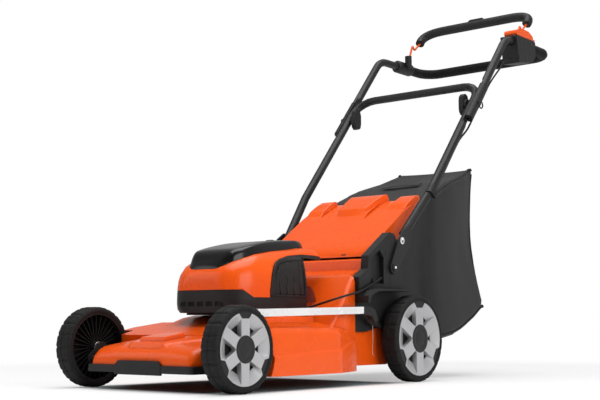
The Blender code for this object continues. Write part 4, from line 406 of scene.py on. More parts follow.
FINISHES: tuple[Finish, ...] = (
    Finish(Slot.ORANGE, (0.90, 0.104, 0.005), (0.86, 0.094, 0.004), (0.22, 0.32), 0.00005, 700.0,
           coat=0.12, coat_roughness=0.10, specular=0.22, handling=0.10, dust=(0.84, 0.16, 0.03),
           painted_shade_reach=0.045),
    Finish(Slot.DARK, (0.015, 0.015, 0.015), (0.020, 0.020, 0.020), (0.40, 0.54), 0.00012, 1500.0,
           handling=0.25),
    Finish(Slot.GLOSS, (0.004, 0.004, 0.004), (0.006, 0.006, 0.006), (0.18, 0.24), 0.00002, 300.0,
           coat=0.16, coat_roughness=0.12, specular=0.34, handling=0.08),
    Finish(Slot.TYRE, (0.008, 0.008, 0.008), (0.012, 0.012, 0.012), (0.62, 0.78), 0.00020, 800.0,
           handling=0.30),
    Finish(Slot.SILVER, (0.44, 0.44, 0.45), (0.48, 0.48, 0.49), (0.30, 0.42), 0.00004, 2500.0,
           metallic=0.25, coat=0.2, coat_roughness=0.2, specular=0.4, handling=0.10),
    Finish(Slot.TUBE, (0.016, 0.016, 0.017), (0.021, 0.021, 0.022), (0.32, 0.44), 0.00003, 1800.0,
           specular=0.28, handling=0.30),
    Finish(Slot.FOAM, (0.006, 0.006, 0.006), (0.010, 0.010, 0.010), (0.74, 0.90), 0.00035, 1400.0,
           sheen=0.05, specular=0.15),
    Finish(Slot.FABRIC, (0.020, 0.020, 0.020), (0.030, 0.030, 0.031), (0.74, 0.90), 0.00035, 650.0,
           sheen=0.10, specular=0.15, handling=0.15, woven=True),
    Finish(Slot.ROD, (0.86, 0.86, 0.86), (0.92, 0.92, 0.92), (0.22, 0.34), 0.00003, 1500.0,
           metallic=0.25, specular=0.5, handling=0.15),
    Finish(Slot.STEEL, (0.62, 0.62, 0.60), (0.72, 0.72, 0.70), (0.22, 0.38), 0.00005, 1800.0,
           metallic=0.9, specular=0.5, handling=0.30),
    Finish(Slot.WIRE, (0.64, 0.092, 0.006), (0.84, 0.095, 0.006), (0.22, 0.34), 0.00004, 1500.0, coat=0.2),
    Finish(Slot.CABLE, (0.010, 0.010, 0.010), (0.014, 0.014, 0.014), (0.42, 0.54), 0.00006, 1500.0),
)


# Mesh building

def around(count: int) -> list[float]:
    """Evenly spaced angles round a circle."""
    return [FULL_TURN * k / count for k in range(count)]


def polar(angle: float, reach: float) -> Vector:
    """A flat point by its angle and its distance from the middle."""
    return Vector((math.cos(angle), math.sin(angle))) * reach


def circle(middle: Vector, first: Vector, second: Vector, radius: float, sides: int) -> Loop:
    """Draws a circle in space.

    Args:
        middle: Its middle.
        first: The direction of its first point.
        second: The direction of the point a quarter turn on.
        radius: Its radius.
        sides: The number of its points.

    Returns:
        The circle's points.
    """
    return [middle + radius * (math.cos(a) * first + math.sin(a) * second) for a in around(sides)]


def grown(loop: Loop, amount: float) -> Loop:
    """Moves a flat loop's edge outwards.

    Args:
        loop: The loop's points in its own plane.
        amount: How far it moves, less than zero for inwards.

    Returns:
        As many points as the loop has.
    """
    after = loop[1:] + loop[:1]
    turn = 1.0 if sum(a.x * b.y - b.x * a.y for a, b in zip(loop, after)) > 0 else -1.0
    moved = []
    for back, here, ahead in zip(loop[-1:] + loop[:-1], loop, after):
        first, second = (here - back).normalized(), (ahead - here).normalized()
        side = Vector((first.y + second.y, -first.x - second.x)).normalized() * turn
        stretch = max(0.45, side.dot(Vector((first.y, -first.x))) * turn)
        moved.append(here + side * (amount / stretch))
    return moved


def rounded(corners: Sequence[tuple[float, float]], radius: float, steps: int = 4) -> Loop:
    """Rounds the corners of a flat outline.

    Args:
        corners: The outline's corners.
        radius: The corners' radius.
        steps: The pieces of each arc.

    Returns:
        The rounded outline.
    """
    points = [Vector(c) for c in corners]
    outline: Loop = []
    for back, here, ahead in zip(points[-1:] + points[:-1], points, points[1:] + points[:1]):
        first, second = (back - here), (ahead - here)
        half = first.angle(second) / 2
        reach = min(radius / math.tan(half), 0.45 * first.length, 0.45 * second.length)
        start, end = here + first.normalized() * reach, here + second.normalized() * reach
        for i in range(steps + 1):
            t = i / steps
            outline.append(start * (1 - t) ** 2 + here * (2 * t * (1 - t)) + end * t ** 2)
    return outline


def smooth_path(points: Sequence[Vector], steps: int = 4) -> Loop:
    """Draws a smooth curve through points.

    Args:
        points: The points that it passes.
        steps: The pieces between two of them.

    Returns:
        The curve's points.
    """
    ends = [2 * points[0] - points[1], *points, 2 * points[-1] - points[-2]]
    path: Loop = []
    for a, b, c, d in zip(ends, ends[1:], ends[2:], ends[3:]):
        for i in range(steps):
            t = i / steps
            path.append((2 * b + (c - a) * t + (2 * a - 5 * b + 4 * c - d) * t ** 2
                         + (3 * b - a - 3 * c + d) * t ** 3) / 2)
    return path + [points[-1].copy()]


def added(name: str, data: bpy.types.ID) -> bpy.types.Object:
    """Adds an object to the scene.

    Args:
        name: The object's name.
        data: Its mesh, light or camera.

    Returns:
        The new object.
    """
    made = bpy.data.objects.new(name, data)
    bpy.context.scene.collection.objects.link(made)
    return made


class Draft:
    """A mesh in the making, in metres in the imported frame.

    Attributes:
        points: Its points.
        faces: Its faces, each as the numbers of its points.
    """

    def __init__(self) -> None:
        """Starts with no points."""
        self.points: list[Vector] = []
        self.faces: list[tuple[int, ...]] = []

    def row(self, points: Sequence[Vector]) -> list[int]:
        """Adds points.

        Args:
            points: The points.

        Returns:
            Their numbers.
        """
        first = len(self.points)
        self.points += [Vector(p) for p in points]
        return list(range(first, len(self.points)))

    def skin(self, rows: Sequence[Sequence[int]]) -> None:
        """Joins rings of as many points each with faces.

        Args:
            rows: The rings' point numbers.
        """
        for low, high in zip(rows, rows[1:]):
            for k in range(len(low)):
                j = (k + 1) % len(low)
                self.faces.append((low[k], low[j], high[j], high[k]))

    def loft(self, rings: Sequence[Sequence[Vector]]) -> None:
        """Adds a closed body through rings of as many points each.

        Args:
            rings: The rings.
        """
        rows = [self.row(ring) for ring in rings]
        self.skin(rows)
        self.faces += [tuple(reversed(rows[0])), tuple(rows[-1])]

    def tube(self, path: Sequence[Vector], radius: float, sides: int = 12) -> None:
        """Adds a round bar along a path.

        Args:
            path: The middle line.
            radius: The bar's radius.
            sides: The points round it.
        """
        ways = [(b - a).normalized() for a, b in zip(path, path[1:])]
        tangents = [ways[0], *[(a + b).normalized() for a, b in zip(ways, ways[1:])], ways[-1]]
        across = tangents[0].orthogonal().normalized()
        rings = []
        for i, (point, way) in enumerate(zip(path, tangents)):
            if i:
                across = tangents[i - 1].rotation_difference(way) @ across
            across = (across - way * across.dot(way)).normalized()
            rings.append(circle(point, across, way.cross(across), radius, sides))
        self.loft(rings)

    def disc(self, spot: Vector, way: Vector, radius: float, height: float, sides: int = 28) -> None:
        """Adds a round button with an eased edge.

        Args:
            spot: The middle of its foot.
            way: The side that it faces.
            radius: Its radius.
            height: Its height.
            sides: The points round it.
        """
        across = way.orthogonal().normalized()
        other = way.cross(across)
        ease = min(0.25 * radius, 0.4 * height)
        steps = ((radius, 0.0), (radius, height - ease), (radius - 0.4 * ease, height - 0.25 * ease),
                 (radius - ease, height), (0.4 * radius, height))
        self.loft([circle(spot + way * rise, across, other, reach, sides) for reach, rise in steps])

    def fill(self, loops: Sequence[Sequence[int]], way: Vector) -> None:
        """Fills a flat region between loops of points.

        Args:
            loops: The outer loop and the loops of its holes.
            way: The plane's normal.
        """
        mesh = bmesh.new()
        numbers: dict[bmesh.types.BMVert, int] = {}
        edges = []
        for loop in loops:
            corners = [mesh.verts.new(self.points[i]) for i in loop]
            numbers.update(zip(corners, loop))
            edges += [mesh.edges.new((a, b)) for a, b in zip(corners, corners[1:] + corners[:1])]
        bmesh.ops.triangle_fill(mesh, use_beauty=True, use_dissolve=False, edges=edges, normal=way)
        self.faces += [tuple(numbers[v] for v in face.verts) for face in mesh.faces]
        mesh.free()

    def make(self, name: str, sharp: float = SHARP_EDGE) -> bpy.types.Object:
        """Makes the object, with outward faces and smooth shading up to an angle.

        Args:
            name: The object's name.
            sharp: Edges sharper than this angle stay sharp.

        Returns:
            The new object.
        """
        mesh = bpy.data.meshes.new(name)
        mesh.from_pydata([tuple(p) for p in self.points], [], self.faces)
        piece = added(name, mesh)
        shade(piece, sharp)
        return piece


def shade(piece: bpy.types.Object, sharp: float) -> None:
    """Turns the faces outwards and shades them smooth up to an angle.

    Args:
        piece: The object.
        sharp: Edges sharper than this angle stay sharp.
    """
    mesh = bmesh.new()
    mesh.from_mesh(piece.data)
    bmesh.ops.recalc_face_normals(mesh, faces=mesh.faces)
    for face in mesh.faces:
        face.smooth = True
    for edge in mesh.edges:
        edge.smooth = len(edge.link_faces) != 2 or edge.calc_face_angle(0.0) < sharp
    mesh.to_mesh(piece.data)
    mesh.free()


def settle(piece: bpy.types.Object) -> None:
    """Applies the object's modifiers to its mesh.

    Args:
        piece: The object.
    """
    seen = piece.evaluated_get(bpy.context.evaluated_depsgraph_get())
    piece.data = bpy.data.meshes.new_from_object(seen)
    piece.modifiers.clear()


def thicken(piece: bpy.types.Object, wall: float, sharp: float) -> None:
    """Gives an open skin a wall that grows inwards.

    Args:
        piece: The object.
        wall: The wall's thickness.
        sharp: Edges sharper than this angle stay sharp.
    """
    thick = piece.modifiers.new("wall", "SOLIDIFY")
    thick.thickness = wall
    thick.offset = -1.0
    settle(piece)
    shade(piece, sharp)


def eased(node: str, name: str, width: float, swell: float = 0.0) -> bpy.types.Object:
    """Copies a CAD node's mesh and rounds its edges, while its flat faces keep their even shading.

    Args:
        node: The node's name.
        name: The new object's name.
        width: The rounding's width.
        swell: How far the skin moves outwards.

    Returns:
        The new object, whose faces are shaded smooth.
    """
    piece = added(name, frame["nodes"][node].data.copy())
    mesh = bmesh.new()
    mesh.from_mesh(piece.data)
    bmesh.ops.remove_doubles(mesh, verts=mesh.verts, dist=WELD_DISTANCE)
    bmesh.ops.dissolve_limit(mesh, angle_limit=FLAT_ANGLE, verts=mesh.verts, edges=mesh.edges)
    if swell:
        mesh.normal_update()
        for vertex in mesh.verts:
            vertex.co += vertex.normal * swell
    mesh.to_mesh(piece.data)
    mesh.free()
    rounding = piece.modifiers.new("rounding", "BEVEL")
    rounding.width = width
    rounding.segments = 2
    rounding.limit_method = "ANGLE"
    rounding.angle_limit = ROUNDED_FROM
    rounding.use_clamp_overlap = True
    settle(piece)
    shade(piece, EASED_EDGE)
    evened = piece.modifiers.new("even_shading", "WEIGHTED_NORMAL")
    evened.mode = "FACE_AREA"
    evened.weight = 80
    evened.keep_sharp = True
    settle(piece)
    return piece


class Workshop:
    """Holds the finishes and puts each piece in its place.

    Attributes:
        finishes: The material of each slot.
        hidden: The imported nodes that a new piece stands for.
        slots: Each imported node's slot.
    """

    def __init__(self) -> None:
        """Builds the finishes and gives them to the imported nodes."""
        effects = Effects()
        self.finishes = {finish.slot: finish.build(effects) for finish in FINISHES}
        self.hidden: set[str] = set()
        self.slots = self._dress_nodes()

    def _dress_nodes(self) -> dict[str, Slot]:
        """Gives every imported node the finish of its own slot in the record.

        Returns:
            Each node's slot.
        """
        slots = {row["node"]: Slot(row["material_slot"]) for row in frame["record"]["subparts"]}
        for node, slot in slots.items():
            for place in frame["nodes"][node].material_slots:
                place.material = self.finishes[slot]
        return slots

    def fit(self, piece: bpy.types.Object, slot: Slot, body: str, stands_for: Sequence[str] = ()) -> None:
        """Finishes a piece, puts it on its body and hides what it stands for.

        Args:
            piece: The new object.
            slot: Its finish.
            body: The body that it rides on.
            stands_for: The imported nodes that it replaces.
        """
        piece.data.materials.clear()
        piece.data.materials.append(self.finishes[slot])
        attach(piece, body)
        if stands_for:
            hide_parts(*stands_for)
            self.hidden.update(stands_for)
        LOG.info("%s: %s on %s", piece.name, slot.value, body)


def middle_of(node: str) -> Vector:
    """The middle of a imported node's box."""
    low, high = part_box(node)
    return (low + high) / 2


# Wheels

@dataclass
class Wheel:
    """One wheel: tyre, ribbed rim, relief hubcap and a plain round centre cap.

    Attributes:
        corner: Where it is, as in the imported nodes' names.
        band: The tyre's thickness.
        shoulder: The depth of the outer band that the tread shapes.
        lobes: The tread's lobes.
        lobe_steps: The mesh's steps along one lobe.
        ribs: The ribs on the rim's inner face.
        pocket: The depth of the hubcap's windows.
        cap_share: The radius of the hubcap's middle hole, as a share of the hubcap's.
        centre: The wheel's middle.
        radius: Its radius.
        half: Half its width.
        side: 1 on the left and -1 on the right.
        edge: The hubcap's radius.
    """

    corner: str
    band: float = 0.0135
    shoulder: float = 0.0085
    lobes: int = 20
    lobe_steps: int = 14
    ribs: int = 30
    pocket: float = 0.0105
    cap_share: float = 0.345

    def __post_init__(self) -> None:
        """Takes the wheel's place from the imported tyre."""
        low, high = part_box(f"{self.corner}_tyre")
        self.centre = (low + high) / 2
        self.radius = (high.z - low.z) / 2
        self.half = (high.x - low.x) / 2
        self.side = 1.0 if self.centre.x > 0 else -1.0
        self.edge = self.radius - self.band - 0.001

    def spot(self, reach: float, angle: float, out: float) -> Vector:
        """A point by its distance from the axis, its angle and its distance outwards."""
        return self.centre + Vector((self.side * out, reach * math.cos(angle), reach * math.sin(angle)))

    def turned(self, draft: Draft, profile: Sequence[tuple[float, float]], segments: int,
               rule: Callable[[float, float], float] | None = None) -> None:
        """Turns a closed profile round the wheel's axis.

        Args:
            draft: The mesh that takes it.
            profile: Points of distance from the axis and distance outwards.
            segments: The pieces of the circle.
            rule: The distance from the axis at an angle, where it changes.
        """
        angles = around(segments)
        rows = []
        for reach, out in profile:
            rows.append(draft.row([self.spot(rule(reach, a) if rule else reach, a, out) for a in angles]))
        draft.skin([*rows, rows[0]])

    def tyre(self) -> bpy.types.Object:
        """Makes the tyre with its blocky tread.

        Returns:
            The new object.
        """
        outer, inner, half = self.radius, self.radius - self.band, self.half
        profile = [
            (inner, -half + 0.0012), (inner + 0.003, -half + 0.0002), (outer - self.shoulder, -half),
            (outer - 0.0040, -half + 0.0012), (outer - 0.0012, -half + 0.0036), (outer, -half + 0.0075),
            (outer, -0.0022), (outer - 0.0010, -0.0012), (outer - 0.0010, 0.0012), (outer, 0.0022),
            (outer, half - 0.0075), (outer - 0.0012, half - 0.0036), (outer - 0.0040, half - 0.0012),
            (outer - self.shoulder, half), (inner + 0.0042, half - 0.0001), (inner + 0.0036, half - 0.0008),
            (inner + 0.0030, half - 0.0001), (inner + 0.0012, half - 0.0003), (inner, half - 0.0012),
        ]

        def tread(reach: float, angle: float) -> float:
            """Cuts the tread into the plain profile.

            Args:
                reach: The plain profile's distance from the axis.
                angle: The angle round the axis.

            Returns:
                The tread's distance from the axis.
            """
            share = max(0.0, (reach - (outer - self.shoulder)) / self.shoulder)
            phase = (self.lobes * (angle - math.pi / 2) / FULL_TURN) % 1.0
            away = min(phase, 1.0 - phase)
            return reach - 0.0024 * share * max(0.0, 1.0 - away / 0.15) - 0.0006 * share * (2 * away) ** 4

        draft = Draft()
        self.turned(draft, profile, self.lobes * self.lobe_steps, tread)
        return draft.make(f"tyre_{self.corner}_tread", MOULDED_EDGE)

    def rim(self) -> bpy.types.Object:
        """Makes the dark rim with the ribs of its inner face and the lugs behind the hubcap's notches.

        Returns:
            The new object.
        """
        half, outer = self.half, self.radius - self.band - 0.0003
        wall, web, hub = outer - 0.0030, half - 0.0150, 0.0126
        bore, rib_half = 0.0064, 0.0006
        profile = [
            (bore, -half + 0.002), (hub, -half + 0.002), (hub, web - 0.003), (wall, web - 0.003),
            (wall, -half + 0.002), (outer, -half + 0.002), (outer, half - 0.0028),
            (wall + 0.001, half - 0.0028), (wall + 0.001, web), (0.0130, web), (0.0130, web + 0.002),
            (bore, web + 0.002),
        ]
        draft = Draft()
        self.turned(draft, profile, 72)
        rib = ((-1, -half + 0.0100), (1, -half + 0.0100), (1, web - 0.002), (-1, web - 0.002))
        for i in range(self.ribs):
            angle = FULL_TURN * (i + 0.5) / self.ribs
            draft.loft([[self.spot(reach, angle + s * (rib_half / reach), out) for s, out in rib]
                        for reach in (hub - 0.001, wall + 0.001)])
        lug = ((0.800, -0.120), (0.800, 0.120), (1.002, 0.285), (1.010, 0.0), (1.002, -0.285))
        for turn in around(3):
            middle = math.pi / 2 + turn
            draft.loft([[self.spot(self.edge * math.hypot(p, q), middle + math.atan2(q, p), out)
                         for p, q in lug] for out in (web - 0.001, half - 0.0022)])
        return draft.make(f"rim_{self.corner}_ribbed", MOULDED_EDGE)

    def window(self, middle: float, notch_side: float) -> tuple[Loop, Loop]:
        """Draws one window's outline at the face and at its floor, in the wheel's plane.

        Args:
            middle: The angle of the window's middle line.
            notch_side: The side on which the hubcap's edge is notched, 1 or -1.

        Returns:
            The two outlines, with the same number of points.
        """
        face = [(0.385, 0.0), (0.402, 0.036), (0.590, 0.143), (0.762, 0.243), (0.786, 0.252), (0.905, 0.212),
                (0.929, 0.196)]
        arc = [0.212 + (-0.335 - 0.212) * k / 6 for k in range(1, 6)]
        face += [(0.952 * math.cos(a), 0.952 * math.sin(a)) for a in arc]
        face += [(0.905, -0.312), (0.885, -0.320), (0.720, -0.228), (0.560, -0.135), (0.402, -0.036)]
        floor = [(0.400, 0.0), (0.412, 0.034), (0.545, 0.110), (0.640, 0.165), (0.655, 0.166), (0.668, 0.150),
                 (0.670, 0.115)]
        floor += [(0.672, 0.09 - 0.18 * k / 4) for k in range(5)]
        floor += [(0.668, -0.158), (0.655, -0.174), (0.600, -0.147), (0.520, -0.100), (0.412, -0.034)]
        upper, lower = [[polar(middle + math.atan2(v * notch_side, u), self.edge * math.hypot(u, v))
                         for u, v in loop] for loop in (face, floor)]
        return upper, lower

    def rim_line(self) -> Loop:
        """Draws the hubcap's outer edge with its three notches, in the wheel's plane.

        Returns:
            The edge's points.
        """
        notch = [(0.965, -0.262), (0.952, -0.245), (0.845, -0.158), (0.832, -0.140), (0.832, 0.0)]
        notch += [(p, -q) for p, q in reversed(notch[:-1])]
        start = math.atan2(0.262, 0.965)
        end = FULL_TURN / 3 - start
        line: Loop = []
        for turn in around(3):
            middle = math.pi / 2 + turn
            line += [polar(middle + math.atan2(q, p), self.edge * math.hypot(p, q)) for p, q in notch]
            line += [polar(middle + start + (end - start) * k / 20, self.edge) for k in range(1, 20)]
        return line

    def hubcap(self) -> bpy.types.Object:
        """Makes the silver hubcap with deep windows.

        Returns:
            The new object.
        """
        face, ease = self.half - 0.0007, 0.0007
        draft = Draft()

        def placed(loop: Loop, depth: float) -> list[int]:
            """Puts a loop of the wheel's plane at a depth below the face."""
            x = self.centre.x + self.side * (face - depth)
            return draft.row([Vector((x, self.centre.y + p.x, self.centre.z + p.y)) for p in loop])

        hole = [polar(a, self.edge) * self.cap_share for a in around(48)]
        flat = []
        for loop, grow in ((self.rim_line(), -ease), (hole, ease)):
            rows = [placed(grown(loop, grow), 0.0), placed(loop, ease), placed(loop, 0.004)]
            draft.skin(rows)
            flat.append(rows[0])
        for i in range(6):
            middle = math.pi / 2 + math.pi / 6 + math.pi / 3 * i
            upper, lower = self.window(middle, -1.0 if i % 2 == 0 else 1.0)
            rows = [placed(grown(upper, ease), 0.0), placed(upper, ease), placed(lower, self.pocket),
                    placed(lower, self.pocket + 0.0015)]
            draft.skin(rows)
            flat.append(rows[0])
        draft.fill(flat, Vector((self.side, 0, 0)))
        return draft.make(f"hubcap_{self.corner}_relief", math.radians(26))

    def centre_cap(self) -> bpy.types.Object:
        """Makes the plain round centre cap.

        Returns:
            The new object.
        """
        reach, foot, top = self.edge * 0.385, self.edge * 0.343, self.half - 0.0002
        profile = [
            (0.0001, top - 0.0005), (reach * 0.55, top - 0.0003), (reach * 0.60, top - 0.0007),
            (reach * 0.66, top - 0.0003), (reach - 0.0016, top), (reach - 0.0005, top - 0.0003),
            (reach, top - 0.0009), (foot, top - 0.0011), (foot, top - 0.013), (0.0001, top - 0.013),
        ]
        draft = Draft()
        rows = [draft.row([self.spot(distance, a, out) for a in around(48)]) for distance, out in profile]
        draft.skin(rows)
        draft.faces += [tuple(rows[0]), tuple(rows[-1])]
        return draft.make(f"centre_cap_{self.corner}", MOULDED_EDGE)

    def hub_ring(self) -> bpy.types.Object:
        """Makes the bright ring round the axle on the wheel's inner side.

        Returns:
            The new object.
        """
        back = -self.half + 0.0016
        profile = [(0.0068, back), (0.0068, back + 0.004), (0.0108, back + 0.004), (0.0108, back + 0.0008),
                   (0.0100, back), (0.0078, back)]
        draft = Draft()
        self.turned(draft, profile, 36)
        return draft.make(f"hub_ring_{self.corner}", SOFT_EDGE)

    def build(self, shop: Workshop) -> None:
        """Builds and fits the wheel's pieces.

        Args:
            shop: The workshop.
        """
        body = f"{self.corner}_wheel"
        shop.fit(self.tyre(), Slot.TYRE, body, [f"{self.corner}_tyre"])
        shop.fit(self.rim(), Slot.DARK, body, [f"{self.corner}_rim"])
        shop.fit(self.hubcap(), Slot.SILVER, body, [f"{self.corner}_hubcap"])
        shop.fit(self.centre_cap(), Slot.DARK, body)
        shop.fit(self.hub_ring(), Slot.STEEL, body)


# Grass bag

@dataclass
class GrassBag:
    """The fabric bag behind the mower: a sewn shell that sags between its seams.

    Attributes:
        stations: The shell's sections. Each is its distance behind the front axle, its half width low and
            high, and its low and high z.
        flare: How far the rear edge's ends stand behind its middle.
        side_sag: How far the sides hang in at half height.
        roof_sag: How far the top hangs in at its middle.
        fold: The depth of the soft folds.
        wall: The fabric's thickness.
        seam_radius: The radius of the top's and the rear's binding.
        hem_radius: The radius of the hem's binding.
        strap_half: Half the strap's length.
        axle_y: The front axle's y.
    """

    stations: tuple[tuple[float, float, float, float, float], ...] = (
        (0.5983, 0.1490, 0.1490, 0.097, 0.3545), (0.640, 0.1490, 0.1490, 0.097, 0.381),
        (0.690, 0.1490, 0.1490, 0.097, 0.412), (0.740, 0.1500, 0.1490, 0.097, 0.430),
        (0.765, 0.1600, 0.1520, 0.097, 0.453), (0.800, 0.1660, 0.1600, 0.098, 0.466),
        (0.880, 0.1630, 0.1540, 0.110, 0.500), (0.960, 0.1540, 0.1400, 0.139, 0.526),
        (1.018, 0.1450, 0.1240, 0.172, 0.556),
    )
    flare: float = 0.028
    side_sag: float = 0.007
    roof_sag: float = 0.0035
    fold: float = 0.0035
    wall: float = 0.0014
    seam_radius: float = 0.0020
    hem_radius: float = 0.0034
    strap_half: float = 0.058

    def __post_init__(self) -> None:
        """Takes the front axle's place from a packed tyre."""
        self.axle_y = middle_of("front_left_tyre").y

    def flared(self, height: float) -> float:
        """How far the rear edge stands behind its middle at a height.

        Args:
            height: The height.

        Returns:
            The distance.
        """
        low, high = self.stations[-1][3:]
        middle = (low + high) / 2
        return self.flare * ((height - middle) / (high - middle)) ** 2

    def half_section(self, low_half: float, high_half: float, low: float, high: float) -> Loop:
        """Draws the right half of a section, from the bottom's middle to the top's middle.

        Args:
            low_half: Its half width low down.
            high_half: Its half width high up.
            low: The z of its bottom.
            high: The z of its top.

        Returns:
            The half section's points, each an x and a z.
        """
        corners = [
            (low_half - 0.012, low), (low_half - 0.002, low + 0.012), (low_half, low + 0.040),
            ((low_half + high_half) / 2 - self.side_sag, (low + high) / 2), (high_half, high - 0.030),
            (high_half - 0.004, high - 0.010), (high_half - 0.016, high),
        ]
        side = smooth_path([Vector(c) for c in corners], 5)
        floor = [Vector((corners[0][0] * k / 8, low)) for k in range(8)]
        roof = []
        for k in range(1, 11):
            sag = self.roof_sag * math.sin(math.pi * k / 20) ** 0.7
            roof.append(Vector((corners[-1][0] * (1 - k / 10), high - sag)))
        return floor + side + roof

    def shell(self) -> bpy.types.Object:
        """Makes the fabric shell with its soft folds.

        Returns:
            The new object.
        """
        shapes = smooth_path([Vector(station[:3]) for station in self.stations], 6)
        heights = smooth_path([Vector((*station[3:], 0.0)) for station in self.stations], 6)
        rings = []
        for k, (shape, reach) in enumerate(zip(shapes, heights)):
            half = self.half_section(shape.y, shape.z, reach.x, reach.y)
            section = half + [Vector((-p.x, p.y)) for p in reversed(half[1:-1])]
            along = k / (len(shapes) - 1)
            lag = max(0.0, (along - 0.70) / 0.30) ** 2
            rings.append([Vector((p.x, self.axle_y + shape.x + self.flared(p.y) * lag, p.y))
                          for p in section])
        draft = Draft()
        rows = [draft.row(ring) for ring in rings]
        rear = rings[-1]
        centre = sum(rear, Vector()) / len(rear)
        for share in (0.86, 0.66, 0.44, 0.22):
            inner = [centre + (p - centre) * share for p in rear]
            for spot in inner:
                spot.y -= 0.004 * (1 - share)
            rows.append(draft.row(inner))
        draft.skin(rows)
        draft.faces.append(tuple(rows[-1]))
        piece = draft.make("bag_shell_sewn", ROUND_EDGE)
        self.crumple(piece)
        thicken(piece, self.wall, math.radians(50))
        return piece

    def crumple(self, piece: bpy.types.Object) -> None:
        """Presses soft folds into the shell, away from its mouth and its bottom.

        Args:
            piece: The shell.
        """
        front = self.axle_y + 0.612
        for vertex in piece.data.vertices:
            spot = vertex.co
            along = min(1.0, max(0.0, (spot.y - front) / 0.12))
            slack = along * (0.35 + 0.65 * min(1.0, max(0.0, (spot.z - 0.12) / 0.15)))
            wave_spot = Vector((spot.x * 5.0, spot.y * 9.0, spot.z * 3.2)) + Vector((3.1, 0.4, 7.7))
            waves = noise.noise(wave_spot)
            crease_spot = Vector((spot.x * 9.0, spot.y * 16.0 + spot.z * 5.0, spot.z * 5.0))
            creases = max(0.0, 1.0 - abs(noise.noise(crease_spot + Vector((9.3, 1.2, 4.5)))) * 2)
            vertex.co = spot - vertex.normal * (self.fold * slack * (0.5 + 0.8 * waves + 0.35 * creases))

    @staticmethod
    def seam(name: str, picks: Sequence[Vector], radius: float, skin: BVHTree) -> bpy.types.Object:
        """Makes a bound seam along points, each drawn onto the shell.

        Args:
            name: The piece's name.
            picks: The points that it follows.
            radius: The binding's radius.
            skin: The shell's faces.

        Returns:
            The new object.
        """
        spots = []
        for pick in smooth_path(list(picks), 3):
            place, normal, _, _ = skin.find_nearest(pick)
            inside = Vector((0.0, pick.y - 0.05, 0.32))
            away = normal if normal.dot(pick - inside) > 0 else -normal
            spots.append(place + away * (radius * 0.25))
        draft = Draft()
        draft.tube(spots, radius, 8)
        return draft.make(name, ROUND_EDGE)

    def strap(self) -> bpy.types.Object:
        """Makes the carrying strap, which lies slack on the bag's top.

        Returns:
            The new object.
        """
        top = Face((0, 0, 1), "bag_fabric")
        centre = middle_of("bag_handle").y
        rings = []
        for k in range(17):
            x = -self.strap_half + 2 * self.strap_half * k / 16
            rise = 0.0004 + 0.0034 * math.sin(math.pi * k / 16) ** 0.6
            spots = [(-0.012, rise), (-0.0115, rise + 0.0016), (0.0115, rise + 0.0016), (0.012, rise)]
            rings.append([top.at(x, centre + aside, height) for aside, height in spots])
        draft = Draft()
        draft.loft(rings)
        return draft.make("bag_strap", SOFT_EDGE)

    def top_line(self, side: float) -> Loop:
        """Draws the line of the seam along the top's edge.

        Args:
            side: 1 for the left and -1 for the right.

        Returns:
            Its points.
        """
        line = [Vector((side * (half - 0.010), self.axle_y + y, high - 0.0035))
                for y, _, half, _, high in self.stations[4:-1]]
        y, _, half, _, high = self.stations[-1]
        line.append(Vector((side * (half - 0.012), self.axle_y + y + self.flare - 0.006, high - 0.0045)))
        return line

    def rear_line(self, side: float) -> Loop:
        """Draws the line of the seam along the rear's edge.

        Args:
            side: 1 for the left and -1 for the right.

        Returns:
            Its points.
        """
        y, low_half, high_half, low, high = self.stations[-1]
        line = []
        for k in range(9):
            height = low + 0.022 + (high - 0.018 - low - 0.022) * k / 8
            wide = low_half + (high_half - low_half) * k / 8 - self.side_sag * math.sin(math.pi * k / 8)
            place = self.axle_y + y + self.flared(height) - 0.001
            line.append(Vector((side * (wide - 0.0015), place, height)))
        return line

    def hem_line(self, side: float) -> Loop:
        """Draws the line of the hem along the bottom's edge.

        Args:
            side: 1 for the left and -1 for the right.

        Returns:
            Its points.
        """
        line = [Vector((side * (half - 0.004), self.axle_y + y, low + 0.004))
                for y, half, _, low, _ in self.stations[5:-1]]
        y, half, _, low, _ = self.stations[-1]
        line.append(Vector((side * (half - 0.004), self.axle_y + y + self.flare - 0.002, low + 0.006)))
        return line

    def build(self, shop: Workshop) -> None:
        """Builds and fits the strap, the shell, its bound seams and the knots at their ends.

        Args:
            shop: The workshop.
        """
        body = "grass_bag"
        shop.fit(self.strap(), Slot.FABRIC, body, ["bag_handle"])
        shell = self.shell()
        faces = [tuple(face.vertices) for face in shell.data.polygons]
        skin = BVHTree.FromPolygons([vertex.co for vertex in shell.data.vertices], faces)
        shop.fit(shell, Slot.FABRIC, body, ["bag_fabric"])
        for side, word in ((1.0, "left"), (-1.0, "right")):
            top, rear, hem = self.top_line(side), self.rear_line(side), self.hem_line(side)
            shop.fit(self.seam(f"bag_top_seam_{word}", top, self.seam_radius, skin), Slot.FABRIC, body)
            shop.fit(self.seam(f"bag_rear_seam_{word}", rear, self.seam_radius, skin), Slot.FABRIC, body)
            shop.fit(self.seam(f"bag_hem_{word}", hem, self.hem_radius, skin), Slot.CABLE, body)
            for spot, place in ((top[-1], "top"), (hem[-1], "low")):
                foot = skin.find_nearest(spot)[0] - Vector((0, 0.003, 0))
                knot = Draft()
                knot.disc(foot, Vector((side * 0.5, 1, 0.3)), 0.0042, 0.0090, 12)
                shop.fit(knot.make(f"bag_knot_{place}_{word}"), Slot.CABLE, body)


# Relief that follows the faces under it

